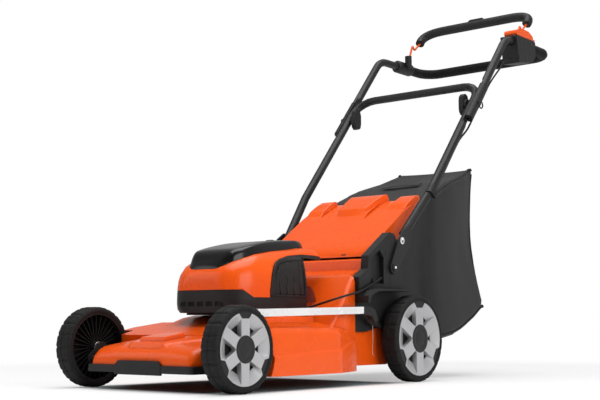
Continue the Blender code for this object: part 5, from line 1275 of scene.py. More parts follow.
class Face:
    """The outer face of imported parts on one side, found by lines cast onto it.

    Attributes:
        way: The side that the face looks towards.
        line: The one first coordinate at which the face is measured, or None.
        trees: The parts' faces.
        last: The depth found last, which holds where a line meets nothing.
    """

    def __init__(self, way: tuple[int, int, int], *nodes: str, line: float | None = None) -> None:
        """Takes the parts' meshes.

        Args:
            way: The side that the face looks towards.
            nodes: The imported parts.
            line: The one first coordinate at which it is measured, where its form is the same all along.
        """
        self.way = Vector(way)
        self.line = line
        self.last = 0.0
        self.trees = []
        for node in nodes:
            part = frame["nodes"][node]
            spots = [part.matrix_world @ vertex.co for vertex in part.data.vertices]
            faces = [tuple(face.vertices) for face in part.data.polygons]
            self.trees.append(BVHTree.FromPolygons(spots, faces))

    def placed(self, first: float, second: float, depth: float) -> Vector:
        """Finds a point by its two coordinates on the face and its place along the third axis.

        Args:
            first: The first coordinate, x or, on a side face, y.
            second: The second coordinate, z or, on a top face, y.
            depth: The place along the third axis.

        Returns:
            The point.
        """
        if self.way.x:
            return Vector((depth, first, second))
        return Vector((first, depth, second)) if self.way.y else Vector((first, second, depth))

    def at(self, first: float, second: float, rise: float = 0.0) -> Vector:
        """Finds the point of the face at two coordinates, raised by a height.

        Args:
            first: The first coordinate, x or, on a side face, y.
            second: The second coordinate, z or, on a top face, y.
            rise: The height over the face.

        Returns:
            The point.
        """
        start = self.placed(first if self.line is None else self.line, second, 0.0) + self.way * 2.0
        hits = [tree.ray_cast(start, -self.way)[0] for tree in self.trees]
        depths = [hit.dot(self.way) for hit in hits if hit is not None]
        if depths:
            self.last = max(depths)
        return self.placed(first, second, 0.0) + self.way * (self.last + rise)


@dataclass(frozen=True)
class Pad:
    """A raised pad with sloping sides.

    Attributes:
        name: The piece's name.
        corners: Its outline in the face's two coordinates.
        height: Its height over the face.
        radius: Its corners' radius.
        slope: How far its top's edge stands in from its foot.
    """

    name: str
    corners: tuple[tuple[float, float], ...]
    height: float
    radius: float = 0.004
    slope: float = 0.001

    def make(self, face: Face) -> bpy.types.Object:
        """Makes the pad.

        Args:
            face: The face that it stands on.

        Returns:
            The new object.
        """
        loop = rounded(self.corners, self.radius)
        ease = min(0.0008, 0.3 * self.height)
        steps = ((0.0, -SUNK), (0.0, 0.0), (self.slope, self.height - ease), (self.slope + ease, self.height))
        draft = Draft()
        rows = [draft.row([face.at(p.x, p.y, rise) for p in grown(loop, -inset)]) for inset, rise in steps]
        top = grown(loop, -self.slope - ease)
        middle = sum(top, Vector((0, 0))) / len(top)
        for share in (0.75, 0.5, 0.25):
            spots = [middle + (p - middle) * share for p in top]
            rows.append(draft.row([face.at(p.x, p.y, self.height) for p in spots]))
        draft.skin(rows)
        draft.faces += [tuple(rows[-1]), tuple(reversed(rows[0]))]
        return draft.make(self.name, MOULDED_EDGE)


@dataclass(frozen=True)
class Band:
    """A raised strip along a line.

    Attributes:
        name: The piece's name.
        path: The line's points in the face's two coordinates.
        half: Half its width.
        height: Its height over the face.
    """

    name: str
    path: tuple[tuple[float, float], ...]
    half: float
    height: float

    def make(self, face: Face) -> bpy.types.Object:
        """Makes the strip.

        Args:
            face: The face that it stands on.

        Returns:
            The new object.
        """
        points = smooth_path([Vector(p) for p in self.path], 3)
        last = len(points) - 1
        section = ((1.0, -SUNK), (1.0, 0.5 * self.height), (0.7, self.height), (-0.7, self.height),
                   (-1.0, 0.5 * self.height), (-1.0, -SUNK))
        rings = []
        for i, point in enumerate(points):
            way = (points[min(i + 1, last)] - points[max(i - 1, 0)]).normalized()
            side = Vector((-way.y, way.x)) * self.half
            ring = []
            for share, rise in section:
                spot = point + side * share
                ring.append(face.at(spot.x, spot.y, rise))
            rings.append(ring)
        draft = Draft()
        draft.loft(rings)
        return draft.make(self.name, MOULDED_EDGE)


@dataclass
class Housing:
    """The motor housing's grilles: slatted side vents in their frames and the bladed slots of its chin.

    Attributes:
        line: The y at which the side's face is measured.
        slats: The y limits of the vent's slats.
        slat_foot: The z of their lower ends.
        slat_tops: The heights of their upper ends, each a y and a z.
        edges: The raised frame's strips: name, line in y and z, half the width and height.
        chin_middles: The x of each chin slot's middle.
        chin_half: Half a chin slot's width.
        chin_low: The z of the lowest blade in a chin slot.
    """

    line: float = -0.334
    slats: tuple[tuple[float, float], ...] = (
        (-0.4160, -0.3925), (-0.3905, -0.3695), (-0.3675, -0.3460), (-0.3440, -0.3235), (-0.3215, -0.3080),
    )
    slat_foot: float = 0.1975
    slat_tops: tuple[tuple[float, float], ...] = (
        (-0.4160, 0.214), (-0.4040, 0.243), (-0.3900, 0.2590), (-0.3700, 0.2670), (-0.3080, 0.2745),
    )
    edges: tuple[tuple[str, tuple[tuple[float, float], ...], float, float], ...] = (
        ("brow", ((-0.4200, 0.1935), (-0.4175, 0.2130), (-0.4085, 0.2420), (-0.3955, 0.2605),
                  (-0.3760, 0.2700), (-0.3400, 0.2755), (-0.3045, 0.2770)), 0.0042, 0.0020),
        ("sill", ((-0.4170, 0.1945), (-0.3600, 0.1935), (-0.3045, 0.1930)), 0.0022, 0.0018),
        ("post", ((-0.3045, 0.1930), (-0.3045, 0.2350), (-0.3045, 0.2750)), 0.0030, 0.0018),
    )
    chin_middles: tuple[float, ...] = (-0.052, -0.026, 0.0, 0.026, 0.052)
    chin_half: float = 0.0089
    chin_low: float = 0.1702

    def slat_top(self, y: float) -> float:
        """Finds the height of the slats' upper ends.

        Args:
            y: The place along the vent.

        Returns:
            The height.
        """
        for (y0, z0), (y1, z1) in zip(self.slat_tops, self.slat_tops[1:]):
            if y <= y1:
                return z0 + (z1 - z0) * max(0.0, y - y0) / (y1 - y0)
        return self.slat_tops[-1][1]

    def louvres(self) -> bpy.types.Object:
        """Makes the four blades in each slot of the chin.

        Returns:
            The new object.
        """
        draft = Draft()
        for middle in self.chin_middles:
            for k in range(4):
                z = self.chin_low + 0.0025 * k
                blade = ((-0.5222, z), (-0.5206, z + 0.0012), (-0.5206, z + 0.0021), (-0.5222, z + 0.0009))
                draft.loft([[Vector((x, *spot)) for spot in blade]
                            for x in (middle - self.chin_half, middle + self.chin_half)])
        return draft.make("chin_louvres")

    def build(self, shop: Workshop) -> None:
        """Builds and fits the grilles.

        Args:
            shop: The workshop.
        """
        for way, word in ((1, "left"), (-1, "right")):
            side = Face((way, 0, 0), "motor_base", line=self.line)
            for i, (front, rear) in enumerate(self.slats):
                corners = ((front, self.slat_foot), (rear, self.slat_foot), (rear, self.slat_top(rear)),
                           (front, self.slat_top(front)))
                slat = Pad(f"vent_slat_{word}_{i + 1}", corners, 0.0007, 0.0015, 0.0004)
                shop.fit(slat.make(side), Slot.DARK, "deck")
            for kind, path, half, height in self.edges:
                shop.fit(Band(f"vent_{kind}_{word}", path, half, height).make(side), Slot.DARK, "deck")
        shop.fit(self.louvres(), Slot.DARK, "deck")


@dataclass
class BatteryLid:
    """The gloss lid over the battery: a smooth dome with a steep front.

    Attributes:
        side_line: The left half of its outline seen from above, from the front to the rear.
        ridge: Heights along its middle, each a y and a z.
        drops: How far its skin lies under the ridge's height at a distance from its edge.
        shares: The rings of its dome, each as a share of the way from its middle to its edge.
        middle: Its middle's x and y.
        wall: Its thickness.
    """

    side_line: tuple[tuple[float, float], ...] = (
        (0.0, -0.5130), (0.0240, -0.5128), (0.0400, -0.5105), (0.0520, -0.5030), (0.0610, -0.4900),
        (0.0690, -0.4700), (0.0740, -0.4450), (0.0760, -0.4150), (0.0762, -0.3600), (0.0760, -0.3050),
        (0.0720, -0.2700), (0.0600, -0.2535), (0.0300, -0.2506), (0.0, -0.2503),
    )
    ridge: tuple[tuple[float, float], ...] = (
        (-0.5130, 0.2540), (-0.5000, 0.2700), (-0.4880, 0.2850), (-0.4780, 0.2925), (-0.4550, 0.2990),
        (-0.4250, 0.3060), (-0.3750, 0.3150), (-0.3050, 0.3210), (-0.2690, 0.3215), (-0.2500, 0.3170),
    )
    drops: tuple[tuple[float, float], ...] = (
        (0.0012, 0.0150), (0.0030, 0.0095), (0.0058, 0.0050), (0.0090, 0.0022),
    )
    shares: tuple[float, ...] = (0.96, 0.92, 0.88, 0.82, 0.76, 0.68, 0.60, 0.50, 0.40, 0.28, 0.16, 0.06)
    middle: tuple[float, float] = (0.0, -0.375)
    wall: float = 0.0020

    def height(self, y: float) -> float:
        """Finds the ridge's height.

        Args:
            y: The place along the lid.

        Returns:
            The height.
        """
        line = smooth_path([Vector(point) for point in self.ridge], 6)
        for low, high in zip(line, line[1:]):
            if y <= high.x:
                return low.y + (high.y - low.y) * max(0.0, y - low.x) / (high.x - low.x)
        return self.ridge[-1][1]

    def build(self, shop: Workshop) -> None:
        """Builds and fits the lid, whose edge follows the cover under it.

        Args:
            shop: The workshop.
        """
        cover = Face((0, 0, 1), "motor_cover", "motor_base")
        half = smooth_path([Vector(point) for point in self.side_line], 3)
        outline = half + [Vector((-p.x, p.y)) for p in reversed(half[1:-1])]
        draft = Draft()
        rows = [draft.row([cover.at(p.x, p.y, 0.0006) for p in outline])]
        for inset, drop in self.drops:
            loop = grown(outline, -inset)
            floors = [cover.at(p.x, p.y, 0.0008 + inset * 0.6).z for p in loop]
            rows.append(draft.row([Vector((p.x, p.y, max(floor, self.height(p.y) - drop)))
                                   for p, floor in zip(loop, floors)]))
        middle = Vector(self.middle)
        for share in self.shares:
            spots = [middle + (p - middle) * share for p in loop]
            sunk = self.drops[-1][1] * max(0.0, (share - 0.6) / 0.4) ** 2
            rows.append(draft.row([Vector((p.x, p.y, self.height(p.y) - sunk)) for p in spots]))
        draft.skin(rows)
        draft.faces.append(tuple(rows[-1]))
        piece = draft.make("battery_lid_dome", math.radians(50))
        thicken(piece, self.wall, math.radians(36))
        shop.fit(piece, Slot.GLOSS, "battery_lid_body", ["battery_lid"])


@dataclass
class LinkRod:
    """The silver rod's bent run, the clip on the handle tube above it and the wire behind it.

    Attributes:
        jog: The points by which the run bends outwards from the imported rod's front end.
        start: The front end of its straight part.
        end: Its rear end.
        half_height: Half its height.
        half_thick: Half its thickness.
        jog_half_thick: Half its thickness at the front end.
        clip: The clip's place.
        clip_lug: The offset of the clip's lug.
        wire: The thin wire's points.
    """

    jog: tuple[tuple[float, float, float], ...] = (
        (0.1848, -0.6000, 0.1546), (0.1848, -0.5880, 0.1548), (0.1866, -0.5800, 0.1549),
        (0.2010, -0.5580, 0.1552),
    )
    start: tuple[float, float, float] = (0.2035, -0.5476, 0.1553)
    end: tuple[float, float, float] = (0.2035, -0.2187, 0.1635)
    half_height: float = 0.0078
    half_thick: float = 0.0038
    jog_half_thick: float = 0.0016
    clip: tuple[float, float, float] = (0.2005, 0.0725, 0.4575)
    clip_lug: tuple[float, float, float] = (0.004, 0.011, -0.009)
    wire: tuple[tuple[float, float, float], ...] = (
        (0.1800, -0.1480, 0.1300), (0.1800, -0.1475, 0.1000), (0.1800, -0.1490, 0.0680),
        (0.1800, -0.1420, 0.0620),
    )

    def run(self) -> bpy.types.Object:
        """Makes the flat run, which thickens along its bend.

        Returns:
            The new object.
        """
        ease = 0.0006
        rings = []
        for spot in smooth_path([Vector(place) for place in (*self.jog, self.start, self.end)], 4):
            share = max(0.0, min(1.0, (spot.y + 0.585) / 0.035))
            tall = self.half_height * (0.96 + 0.04 * share)
            thick = self.jog_half_thick + (self.half_thick - self.jog_half_thick) * share
            section = [(-thick, -tall + ease), (-thick + ease, -tall), (thick - ease, -tall),
                       (thick, -tall + ease), (thick, tall - ease), (thick - ease, tall),
                       (-thick + ease, tall), (-thick, tall - ease)]
            rings.append([spot + Vector((x, 0, z)) for x, z in section])
        draft = Draft()
        draft.loft(rings)
        return draft.make("link_rod_run", MOULDED_EDGE)

    def build(self, shop: Workshop) -> None:
        """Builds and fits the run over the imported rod's, the clip on the tube and the wire.

        Args:
            shop: The workshop.
        """
        shop.fit(self.run(), Slot.ROD, "link_rod_body")
        along = Vector((0.0, math.cos(HANDLE_SLOPE), math.sin(HANDLE_SLOPE)))
        middle, lug = Vector(self.clip), Vector(self.clip_lug)
        clip = Draft()
        clip.tube([middle + along * k for k in (-0.013, -0.012, 0.012, 0.013)], 0.0118, 20)
        clip.tube([middle + along * k + lug for k in (-0.010, -0.009, 0.009, 0.010)], 0.0052)
        shop.fit(clip.make("tube_clip"), Slot.DARK, "lower_handle_body")
        wire = Draft()
        wire.tube(smooth_path([Vector(place) for place in self.wire], 4), 0.0006, 8)
        shop.fit(wire.make("return_wire"), Slot.STEEL, "deck")


@dataclass
class FlapPads:
    """The three pads that rise towards the rear flap's upper edge, and painted shade for its two front slots.

    Attributes:
        plain: The x of a strip of the flap without any pad.
        edge: The y up to which the flap's own height is measured.
        sections: Each pad's sections: y, its low and high x, and its rise over the plain flap.
        slots: The x of each slot's middle.
    """

    plain: float = 0.070
    edge: float = 0.0985
    sections: tuple[tuple[str, tuple[tuple[float, float, float, float], ...]], ...] = (
        ("right", ((0.018, -0.148, -0.101, -0.001), (0.034, -0.148, -0.102, 0.0085),
                   (0.045, -0.148, -0.103, 0.0105), (0.080, -0.148, -0.106, 0.0115),
                   (0.098, -0.147, -0.107, 0.0100), (0.1015, -0.146, -0.108, 0.0070))),
        ("middle", ((0.004, -0.038, 0.036, -0.001), (0.019, -0.041, 0.039, 0.0130),
                    (0.026, -0.043, 0.041, 0.0155), (0.070, -0.050, 0.048, 0.0185),
                    (0.098, -0.054, 0.053, 0.0180), (0.1015, -0.053, 0.052, 0.0140))),
        ("left", ((0.026, 0.098, 0.149, -0.001), (0.042, 0.099, 0.149, 0.0075), (0.052, 0.100, 0.149, 0.0095),
                  (0.080, 0.101, 0.149, 0.0105), (0.098, 0.102, 0.148, 0.0095),
                  (0.1015, 0.103, 0.147, 0.0065))),
    )
    slots: tuple[float, ...] = (0.085, -0.085)

    def build(self, shop: Workshop) -> None:
        """Builds and fits the pads and the thin black sheets of painted shade for the slots.

        Args:
            shop: The workshop.
        """
        face = Face((0, 0, 1), "rear_flap")
        for word, sections in self.sections:
            rings = []
            for y, low, high, rise in smooth_path([Vector(section) for section in sections], 3):
                base = face.at(self.plain, min(y, self.edge)).z
                foot, top = base - 0.0025, base + max(rise, -0.001)
                ease = 0.35 * max(0.0, rise)
                waist = (foot + top) / 2
                section = ((low - ease, foot), (low - 0.5 * ease, waist), (low, top - 0.0012),
                           (low + 0.0016, top), (high - 0.0016, top), (high, top - 0.0012),
                           (high + 0.5 * ease, waist), (high + ease, foot))
                rings.append([Vector((x, y, z)) for x, z in section])
            draft = Draft()
            draft.loft(rings)
            shop.fit(draft.make(f"flap_pad_{word}", math.radians(22)), Slot.ORANGE, "rear_flap_body")
        # Each slot is a thin black sheet: painted shade where the opening is.
        front = Face((0, -1, 0), "rear_flap")
        for i, x in enumerate(self.slots):
            corners = ((x - 0.006, 0.2935), (x + 0.006, 0.2935), (x + 0.006, 0.2965), (x - 0.006, 0.2965))
            slot = Pad(f"flap_slot_painted_shade_{i + 1}", corners, 0.0003, 0.001, 0.0001)
            shop.fit(slot.make(front), Slot.GLOSS, "rear_flap_body")


@dataclass
class DeckRelief:
    """The deck's nose pad and the painted shade of its small slots.

    Attributes:
        nose: The nose pad's outline, each an x and a y.
        slot: The left slot's outline, each an x and a y.
    """

    nose: tuple[tuple[float, float], ...] = (
        (-0.034, -0.664), (0.038, -0.664), (0.032, -0.596), (-0.030, -0.596),
    )
    slot: tuple[tuple[float, float], ...] = (
        (0.1165, -0.336), (0.1215, -0.336), (0.1215, -0.306), (0.1165, -0.306),
    )

    def build(self, shop: Workshop) -> None:
        """Builds and fits the relief.

        Args:
            shop: The workshop.
        """
        top = Face((0, 0, 1), "deck_shell")
        shop.fit(Pad("nose_pad", self.nose, 0.0085, 0.004, 0.003).make(top), Slot.ORANGE, "deck")
        # The slots are thin black sheets: painted shade where the openings are.
        turned_over = tuple((-x, y) for x, y in reversed(self.slot))
        for word, corners in (("left", self.slot), ("right", turned_over)):
            slot = Pad(f"deck_slot_painted_shade_{word}", corners, 0.0004, 0.0015, 0.0001)
            shop.fit(slot.make(top), Slot.GLOSS, "deck")


@dataclass
class HandleMounts:
    """The handle brackets' bolts, bosses, buttons and ribs, with painted shade for their slots and hollows.

    Attributes:
        lock: The lock bolt's place on the left side.
        pivot: The pivot's place on the left side.
        button: The place of the left bracket's button.
        hollow: The place of the hollow in the button, drawn as a black disc of painted shade.
        slot: The outline of the bracket's slot, each a y and a z.
        rib: The line of the bracket's rib, each a y and a z.
    """

    lock: tuple[float, float, float] = (0.1935, -0.046, 0.3278)
    pivot: tuple[float, float, float] = (0.1945, -0.0798, 0.2635)
    button: tuple[float, float, float] = (0.1765, -0.1424, 0.2300)
    hollow: tuple[float, float, float] = (0.1810, -0.1424, 0.2300)
    slot: tuple[tuple[float, float], ...] = (
        (-0.1085, 0.2900), (-0.1010, 0.2900), (-0.1010, 0.3030), (-0.1085, 0.3030),
    )
    rib: tuple[tuple[float, float], ...] = ((-0.0865, 0.2240), (-0.0865, 0.2360), (-0.0825, 0.2480))

    def build(self, shop: Workshop) -> None:
        """Builds and fits them on both sides.

        Args:
            shop: The workshop.
        """
        for side, word in ((1, "left"), (-1, "right")):
            way, mirror = Vector((side, 0, 0)), Vector((side, 1, 1))
            lock, pivot = Vector(self.lock) * mirror, Vector(self.pivot) * mirror
            button, hollow = Vector(self.button) * mirror, Vector(self.hollow) * mirror
            bolts = [f"lock_bolt_{word}", f"pivot_bolt_{word}"]
            lock_body, pivot_body = [body_of(frame["nodes"][bolt])[0] for bolt in bolts]
            discs = (
                ("lock_washer", lock, 0.0085, 0.0022, 28, Slot.ROD, lock_body, bolts[:1]),
                ("lock_head", lock + way * 0.0015, 0.0050, 0.0045, 6, Slot.STEEL, lock_body, []),
                ("pivot_boss", pivot, 0.0095, 0.0034, 28, Slot.DARK, pivot_body, bolts[1:]),
                ("pivot_dot", pivot + way * 0.0030, 0.0032, 0.0022, 28, Slot.ROD, pivot_body, []),
                ("bracket_button", button, 0.0075, 0.0050, 28, Slot.DARK, "deck", []),
                # The hollow is a thin black disc of painted shade.
                ("bracket_button_hollow_painted_shade", hollow, 0.0040, 0.0008, 28, Slot.GLOSS, "deck", []),
            )
            for name, spot, radius, height, sides, finish, body, stands_for in discs:
                draft = Draft()
                draft.disc(spot, way, radius, height, sides)
                shop.fit(draft.make(f"{name}_{word}"), finish, body, stands_for)
            plate = Face((side, 0, 0), f"bracket_{word}")
            # The slot is a thin black sheet of painted shade.
            slot = Pad(f"bracket_slot_painted_shade_{word}", self.slot, 0.0005, 0.002, 0.0002)
            shop.fit(slot.make(plate), Slot.GLOSS, "deck")
            rib = Band(f"bracket_rib_{word}", self.rib, 0.0018, 0.0007)
            shop.fit(rib.make(plate), Slot.DARK, "deck")


@dataclass
class SwitchDetails:
    """The switch box's side screws.

    Attributes:
        side: The x of the box's side.
        screws: Each screw's y and z.
    """

    side: float = 0.2250
    screws: tuple[tuple[float, float], ...] = (
        (0.5052, 0.9095), (0.5642, 0.9127), (0.4975, 0.8657), (0.5384, 0.8677),
    )

    def build(self, shop: Workshop) -> None:
        """Builds and fits them.

        Args:
            shop: The workshop.
        """
        for k, place in enumerate(self.screws):
            screw = Draft()
            screw.disc(Vector((self.side, *place)), Vector((1, 0, 0)), 0.0034, 0.0020, 12)
            shop.fit(screw.make(f"switch_screw_{k + 1}"), Slot.GLOSS, "upper_handle")


@dataclass
class Bail:
    """The bail: kinked wire arms, and foam whose ends sweep down onto them, with a raised tab on its top.

    Attributes:
        axis: Where the left arm's stub starts, on the line that the bail turns on.
        kinks: The left arm's further points, each a distance inwards, back and up from there.
        wire_radius: The wire's radius.
        arm_end: Where the foam ends on the left arm.
        corner: Where the left arm's line meets the bar's.
        sweep: How far the bend reaches along the bar.
        radius: The foam's radius.
        tab: The tab's outline, each an x and a height over the bar's middle line.
        tab_half: Half the tab's depth.
    """

    axis: tuple[float, float, float] = (0.1930, 0.5660, 0.9360)
    kinks: tuple[tuple[float, float, float], ...] = (
        (0.0, 0.0, 0.0), (0.0090, 0.0, 0.0), (0.0110, 0.0040, 0.0100), (0.0110, 0.0125, 0.0320),
        (0.0110, 0.0175, 0.0405), (0.0110, 0.0220, 0.0360), (0.0110, 0.0270, 0.0325),
        (0.0110, 0.0335, 0.0345), (0.0110, 0.0400, 0.0410), (0.0110, 0.0597, 0.0570),
        (0.0095, 0.0640, 0.0625),
    )
    wire_radius: float = 0.0031
    arm_end: tuple[float, float, float] = (0.1820, 0.6257, 0.9930)
    corner: tuple[float, float, float] = (0.1910, 0.6530, 1.0280)
    sweep: float = 0.080
    radius: float = 0.0135
    tab: tuple[tuple[float, float], ...] = (
        (-0.0300, 0.0085), (0.0320, 0.0085), (0.0235, 0.0172), (-0.0180, 0.0172),
    )
    tab_half: float = 0.0058

    def bend(self, side: float) -> Loop:
        """Draws the middle line from the foam's end on one arm up to where the bar is straight.

        Args:
            side: 1 for the left and -1 for the right.

        Returns:
            Its points.
        """
        mirror = Vector((side, 1.0, 1.0))
        end, corner = Vector(self.arm_end) * mirror, Vector(self.corner) * mirror
        bar = corner - Vector((side * self.sweep, 0.0, 0.0))
        shares = [k / 12 for k in range(13)]
        return [end * (1 - t) ** 2 + corner * (2 * t * (1 - t)) + bar * t ** 2 for t in shares]

    def build(self, shop: Workshop) -> None:
        """Builds and fits the foam with its tab and the wire arms.

        Args:
            shop: The workshop.
        """
        foam = Draft()
        foam.tube(self.bend(-1.0) + list(reversed(self.bend(1.0))), self.radius, 20)
        _, y, z = self.corner
        foam.loft([[Vector((x, y + aside, z + rise)) for x, rise in self.tab]
                   for aside in (-self.tab_half, self.tab_half)])
        # Painted light: the foam wears the lighter dark-moulding finish, as it stands high under the top
        # lamp.
        shop.fit(foam.make("bail_foam", SOFT_EDGE), Slot.DARK, "bail", ["bail_grip"])
        stub = Vector(self.axis)
        arms = Draft()
        for side in (1.0, -1.0):
            points = [Vector((side * (stub.x - across), stub.y + back, stub.z + up))
                      for across, back, up in self.kinks]
            arms.tube(smooth_path(points, 4), self.wire_radius, 10)
        shop.fit(arms.make("bail_arms", ROUND_EDGE), Slot.WIRE, "bail", ["bail_wire"])


@dataclass
class ControlCable:
    """The cable from the switch box down along the left upper tube.

    Attributes:
        head: Its first points, from the front of the switch box.
        route: Its further points, each a distance along the handle and an offset behind it.
        line_start: The y and z where the handle's line starts.
        side: The x of the upper tube's middle.
        radius: The cable's radius.
    """

    head: tuple[tuple[float, float, float], ...] = (
        (0.2075, 0.4798, 0.8620), (0.2080, 0.4550, 0.8515), (0.2085, 0.4320, 0.8380),
    )
    route: tuple[tuple[float, float], ...] = (
        (0.7496, 0.0300), (0.7049, 0.0226), (0.6680, 0.0182), (0.6300, 0.0180), (0.5900, 0.0180),
        (0.5500, 0.0170), (0.5120, 0.0168),
    )
    line_start: tuple[float, float] = (-0.0874, 0.2635)
    side: float = 0.2085
    radius: float = 0.0023

    def build(self, shop: Workshop) -> None:
        """Builds and fits the cable.

        Args:
            shop: The workshop.
        """
        y, z = self.line_start
        cos, sin = math.cos(HANDLE_SLOPE), math.sin(HANDLE_SLOPE)
        points = [Vector(point) for point in self.head]
        for far, off in self.route:
            points.append(Vector((self.side, y + far * cos + off * sin, z + far * sin - off * cos)))
        draft = Draft()
        draft.tube(smooth_path(points, 4), self.radius, 8)
        shop.fit(draft.make("cable_run", ROUND_EDGE), Slot.CABLE, "upper_handle", ["cable_upper"])


# Studio

@dataclass
class Studio:
    """The pale floor with its painted shadow, the soft light and the camera.

    Attributes:
        focal_pixels: The camera's focal length in pixels of the picture.
        camera_spot: The camera's place.
        tilt: The camera's tilt from straight down, in degrees.
        heading: The camera's turn about the vertical, in degrees.
        world_light: The surroundings' strength on the mower.
        gloss_light: Their strength in the mower's gloss.
        gloss_range: The shares of that strength in front of the mower and behind it.
        floor_reach: The floor's half width.
        floor_colour: The floor's colour.
        floor_white: The share of pure white that the camera sees in it, except in the painted shadow under
            the deck.
        painted_shadow_colour: Its colour under the deck, where a shadow is painted.
        fade: The distances from the middle between which the floor turns white.
        shadow: The painted shadow under the deck: for each axis its middle and its half width.
        aim: The point that every lamp faces.
        lamps: Each lamp's name, place, side length and power in watts.
    """

    focal_pixels: float = 1120.94
    camera_spot: tuple[float, float, float] = (1.6615, -2.2382, 0.1317)
    tilt: float = 96.3509
    heading: float = 39.0119
    world_light: float = 0.36
    gloss_light: float = 0.22
    gloss_range: tuple[float, float] = (0.3, 2.4)
    floor_reach: float = 14.0
    floor_colour: Colour = (0.90, 0.90, 0.90)
    floor_white: float = 0.42
    painted_shadow_colour: Colour = (0.25, 0.31, 0.33)
    fade: tuple[float, float] = (0.75, 1.6)
    shadow: tuple[tuple[str, float, float], ...] = (("X", 0.0, 0.235), ("Y", -0.375, 0.315))
    aim: tuple[float, float, float] = (0.0, -0.1, 0.3)
    lamps: tuple[tuple[str, tuple[float, float, float], float, float], ...] = (
        ("top_light", (0.2, -0.2, 3.2), 2.6, 78.0), ("left_light", (-2.2, -2.6, 1.7), 2.4, 22.0),
        ("right_light", (3.0, -0.6, 1.4), 1.9, 37.0),
    )

    def camera(self) -> None:
        """Places the camera at the photograph's angle."""
        data = bpy.data.cameras.new("studio_camera")
        data.sensor_width = 36.0
        data.lens = self.focal_pixels * data.sensor_width / PICTURE_WIDTH
        data.clip_end = 60.0
        camera = added("studio_camera", data)
        camera.location = self.camera_spot
        camera.rotation_euler = (math.radians(self.tilt), 0.0, math.radians(self.heading))
        bpy.context.scene.camera = camera

    def surroundings(self) -> None:
        """Makes the surroundings, which the camera sees at full white and the mower more dimly."""
        world = bpy.data.worlds.new("white_surroundings")
        bpy.context.scene.world = world
        world.use_nodes = True
        tree = ShaderTree(world.node_tree)
        path = tree.add("ShaderNodeLightPath").outputs
        way = tree.parts(tree.add("ShaderNodeTexCoord").outputs["Generated"])
        front, rear = [self.gloss_light * share for share in self.gloss_range]
        gloss = tree.ranged(way["Y"], (-0.5, 0.8), (front, rear))
        light = tree.ranged(path["Is Glossy Ray"], results=(self.world_light, gloss))
        back = world.node_tree.nodes["Background"]
        tree.put((1.0, 1.0, 1.0, 1.0), back.inputs["Color"])
        tree.put(tree.ranged(path["Is Camera Ray"], results=(light, 1.0)), back.inputs["Strength"])

    def floor(self) -> None:
        """Makes the pale floor, which fades to white away from the mower, with cast and painted shadow under
        it.
        """
        reach = self.floor_reach
        draft = Draft()
        corners = ((-reach, -reach), (reach, -reach), (reach, reach), (-reach, reach))
        draft.faces.append(tuple(draft.row([Vector((x, y, 0)) for x, y in corners])))
        piece = draft.make("studio_floor")
        made = bpy.data.materials.new("studio_floor_white")
        made.use_nodes = True
        tree = ShaderTree(made.node_tree)
        spot = tree.add("ShaderNodeTexCoord").outputs["Object"]
        distance = tree.add("ShaderNodeVectorMath", {0: spot}, operation="LENGTH").outputs["Value"]
        under = self.painted_shadow_mask(tree, spot)
        shader = made.node_tree.nodes["Principled BSDF"]
        # Painted shadow: the floor's colour turns dark under the deck, on top of the shadow that the lamps
        # cast.
        tree.put(tree.blend(under, self.floor_colour, self.painted_shadow_colour), shader.inputs["Base Color"])
        tree.put(0.9, shader.inputs["Roughness"])
        tree.put(0.0, shader.inputs["Specular IOR Level"])
        white = tree.add("ShaderNodeEmission", {"Color": (1.0, 1.0, 1.0, 1.0), "Strength": 1.0})
        open_white = tree.ranged(under, results=(self.floor_white, 0.0))
        share = tree.math("MAXIMUM", tree.ranged(distance, self.fade), open_white)
        seen = tree.add("ShaderNodeLightPath").outputs["Is Camera Ray"]
        mix = tree.add("ShaderNodeMixShader", {"Fac": tree.math("MULTIPLY", seen, share)})
        tree.put(shader.outputs["BSDF"], mix.inputs[1])
        tree.put(white.outputs["Emission"], mix.inputs[2])
        tree.put(mix.outputs["Shader"], made.node_tree.nodes["Material Output"].inputs["Surface"])
        piece.data.materials.append(made)

    def painted_shadow_mask(self, tree: ShaderTree, spot: bpy.types.NodeSocket) -> bpy.types.NodeSocket:
        """Masks the floor under the deck, where a painted shadow darkens its colour.

        Args:
            tree: The floor's shader tree.
            spot: The place on the floor.

        Returns:
            A mask that is 1 under the deck's middle.
        """
        parts = tree.parts(spot)
        masks = []
        for axis, middle, half in self.shadow:
            away = tree.math("ABSOLUTE", tree.math("SUBTRACT", parts[axis], middle))
            limits = (half - 0.05, half + 0.015)
            masks.append(tree.ranged(away, limits, (1.0, 0.0), interpolation_type="SMOOTHSTEP"))
        return tree.math("MULTIPLY", *masks)

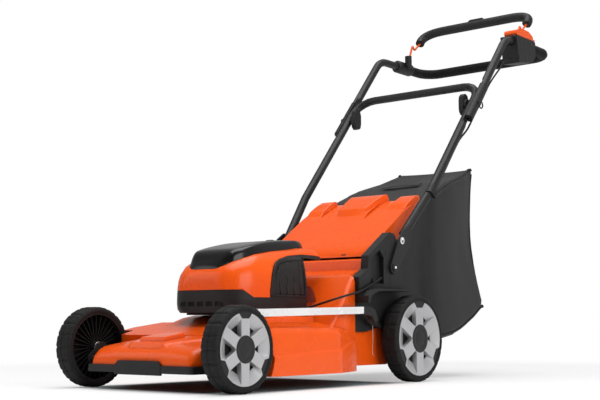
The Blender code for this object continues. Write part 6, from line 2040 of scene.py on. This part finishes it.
    def build(self) -> None:
        """Builds the studio."""
        bpy.context.scene.view_settings.view_transform = "Standard"
        self.camera()
        self.surroundings()
        self.floor()
        for name, spot, size, power in self.lamps:
            data = bpy.data.lights.new(name, "AREA")
            data.shape = "SQUARE"
            data.size = size
            data.energy = power
            lamp = added(name, data)
            lamp.location = spot
            lamp.rotation_euler = (Vector(self.aim) - Vector(spot)).to_track_quat("-Z", "Y").to_euler()


# Casings, tubes and small parts that keep their packed form

@dataclass
class EasedParts:
    """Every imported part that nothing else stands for, with its edges rounded.

    Attributes:
        widths: The rounding's width for each finish, in metres.
        painted: Parts with another finish than their slot's.
        swollen: Parts whose skin moves outwards, and how far.
        inside: Parts that lie inside others and keep their plain form.
    """

    widths: tuple[tuple[Slot, float], ...] = (
        (Slot.ORANGE, 0.0012), (Slot.DARK, 0.0009), (Slot.GLOSS, 0.0012), (Slot.SILVER, 0.0005),
        (Slot.TUBE, 0.0004), (Slot.FOAM, 0.0010), (Slot.ROD, 0.0007), (Slot.STEEL, 0.0004),
        (Slot.WIRE, 0.0004), (Slot.CABLE, 0.0004),
    )
    painted: tuple[tuple[str, Slot], ...] = (("front_axle", Slot.DARK), ("rear_axle", Slot.DARK))
    swollen: tuple[tuple[str, float], ...] = (("grip_clamp", 0.0012),)
    inside: tuple[str, ...] = ("motor_can", "motor_shaft", "blade_holder")

    def build(self, shop: Workshop) -> None:
        """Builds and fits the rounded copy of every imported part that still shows.

        Args:
            shop: The workshop.
        """
        widths, painted, swollen = dict(self.widths), dict(self.painted), dict(self.swollen)
        for node, slot in shop.slots.items():
            if node in shop.hidden or node in self.inside:
                continue
            piece = eased(node, f"{node}_eased", widths[slot], swollen.get(node, 0.0))
            shop.fit(piece, painted.get(node, slot), body_of(frame["nodes"][node])[0], [node])


def main() -> None:
    """Builds the studio and every piece, in order."""
    logging.basicConfig(level=logging.INFO, format="%(name)s %(message)s")
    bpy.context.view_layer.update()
    Studio().build()
    shop = Workshop()
    for corner in ("front_left", "front_right", "rear_left", "rear_right"):
        Wheel(corner).build(shop)
    GrassBag().build(shop)
    for group in (Housing(), BatteryLid(), LinkRod(), FlapPads(), DeckRelief(), HandleMounts(),
                  SwitchDetails(), Bail(), ControlCable(), EasedParts()):
        group.build(shop)


if __name__ == "__main__":
    main()
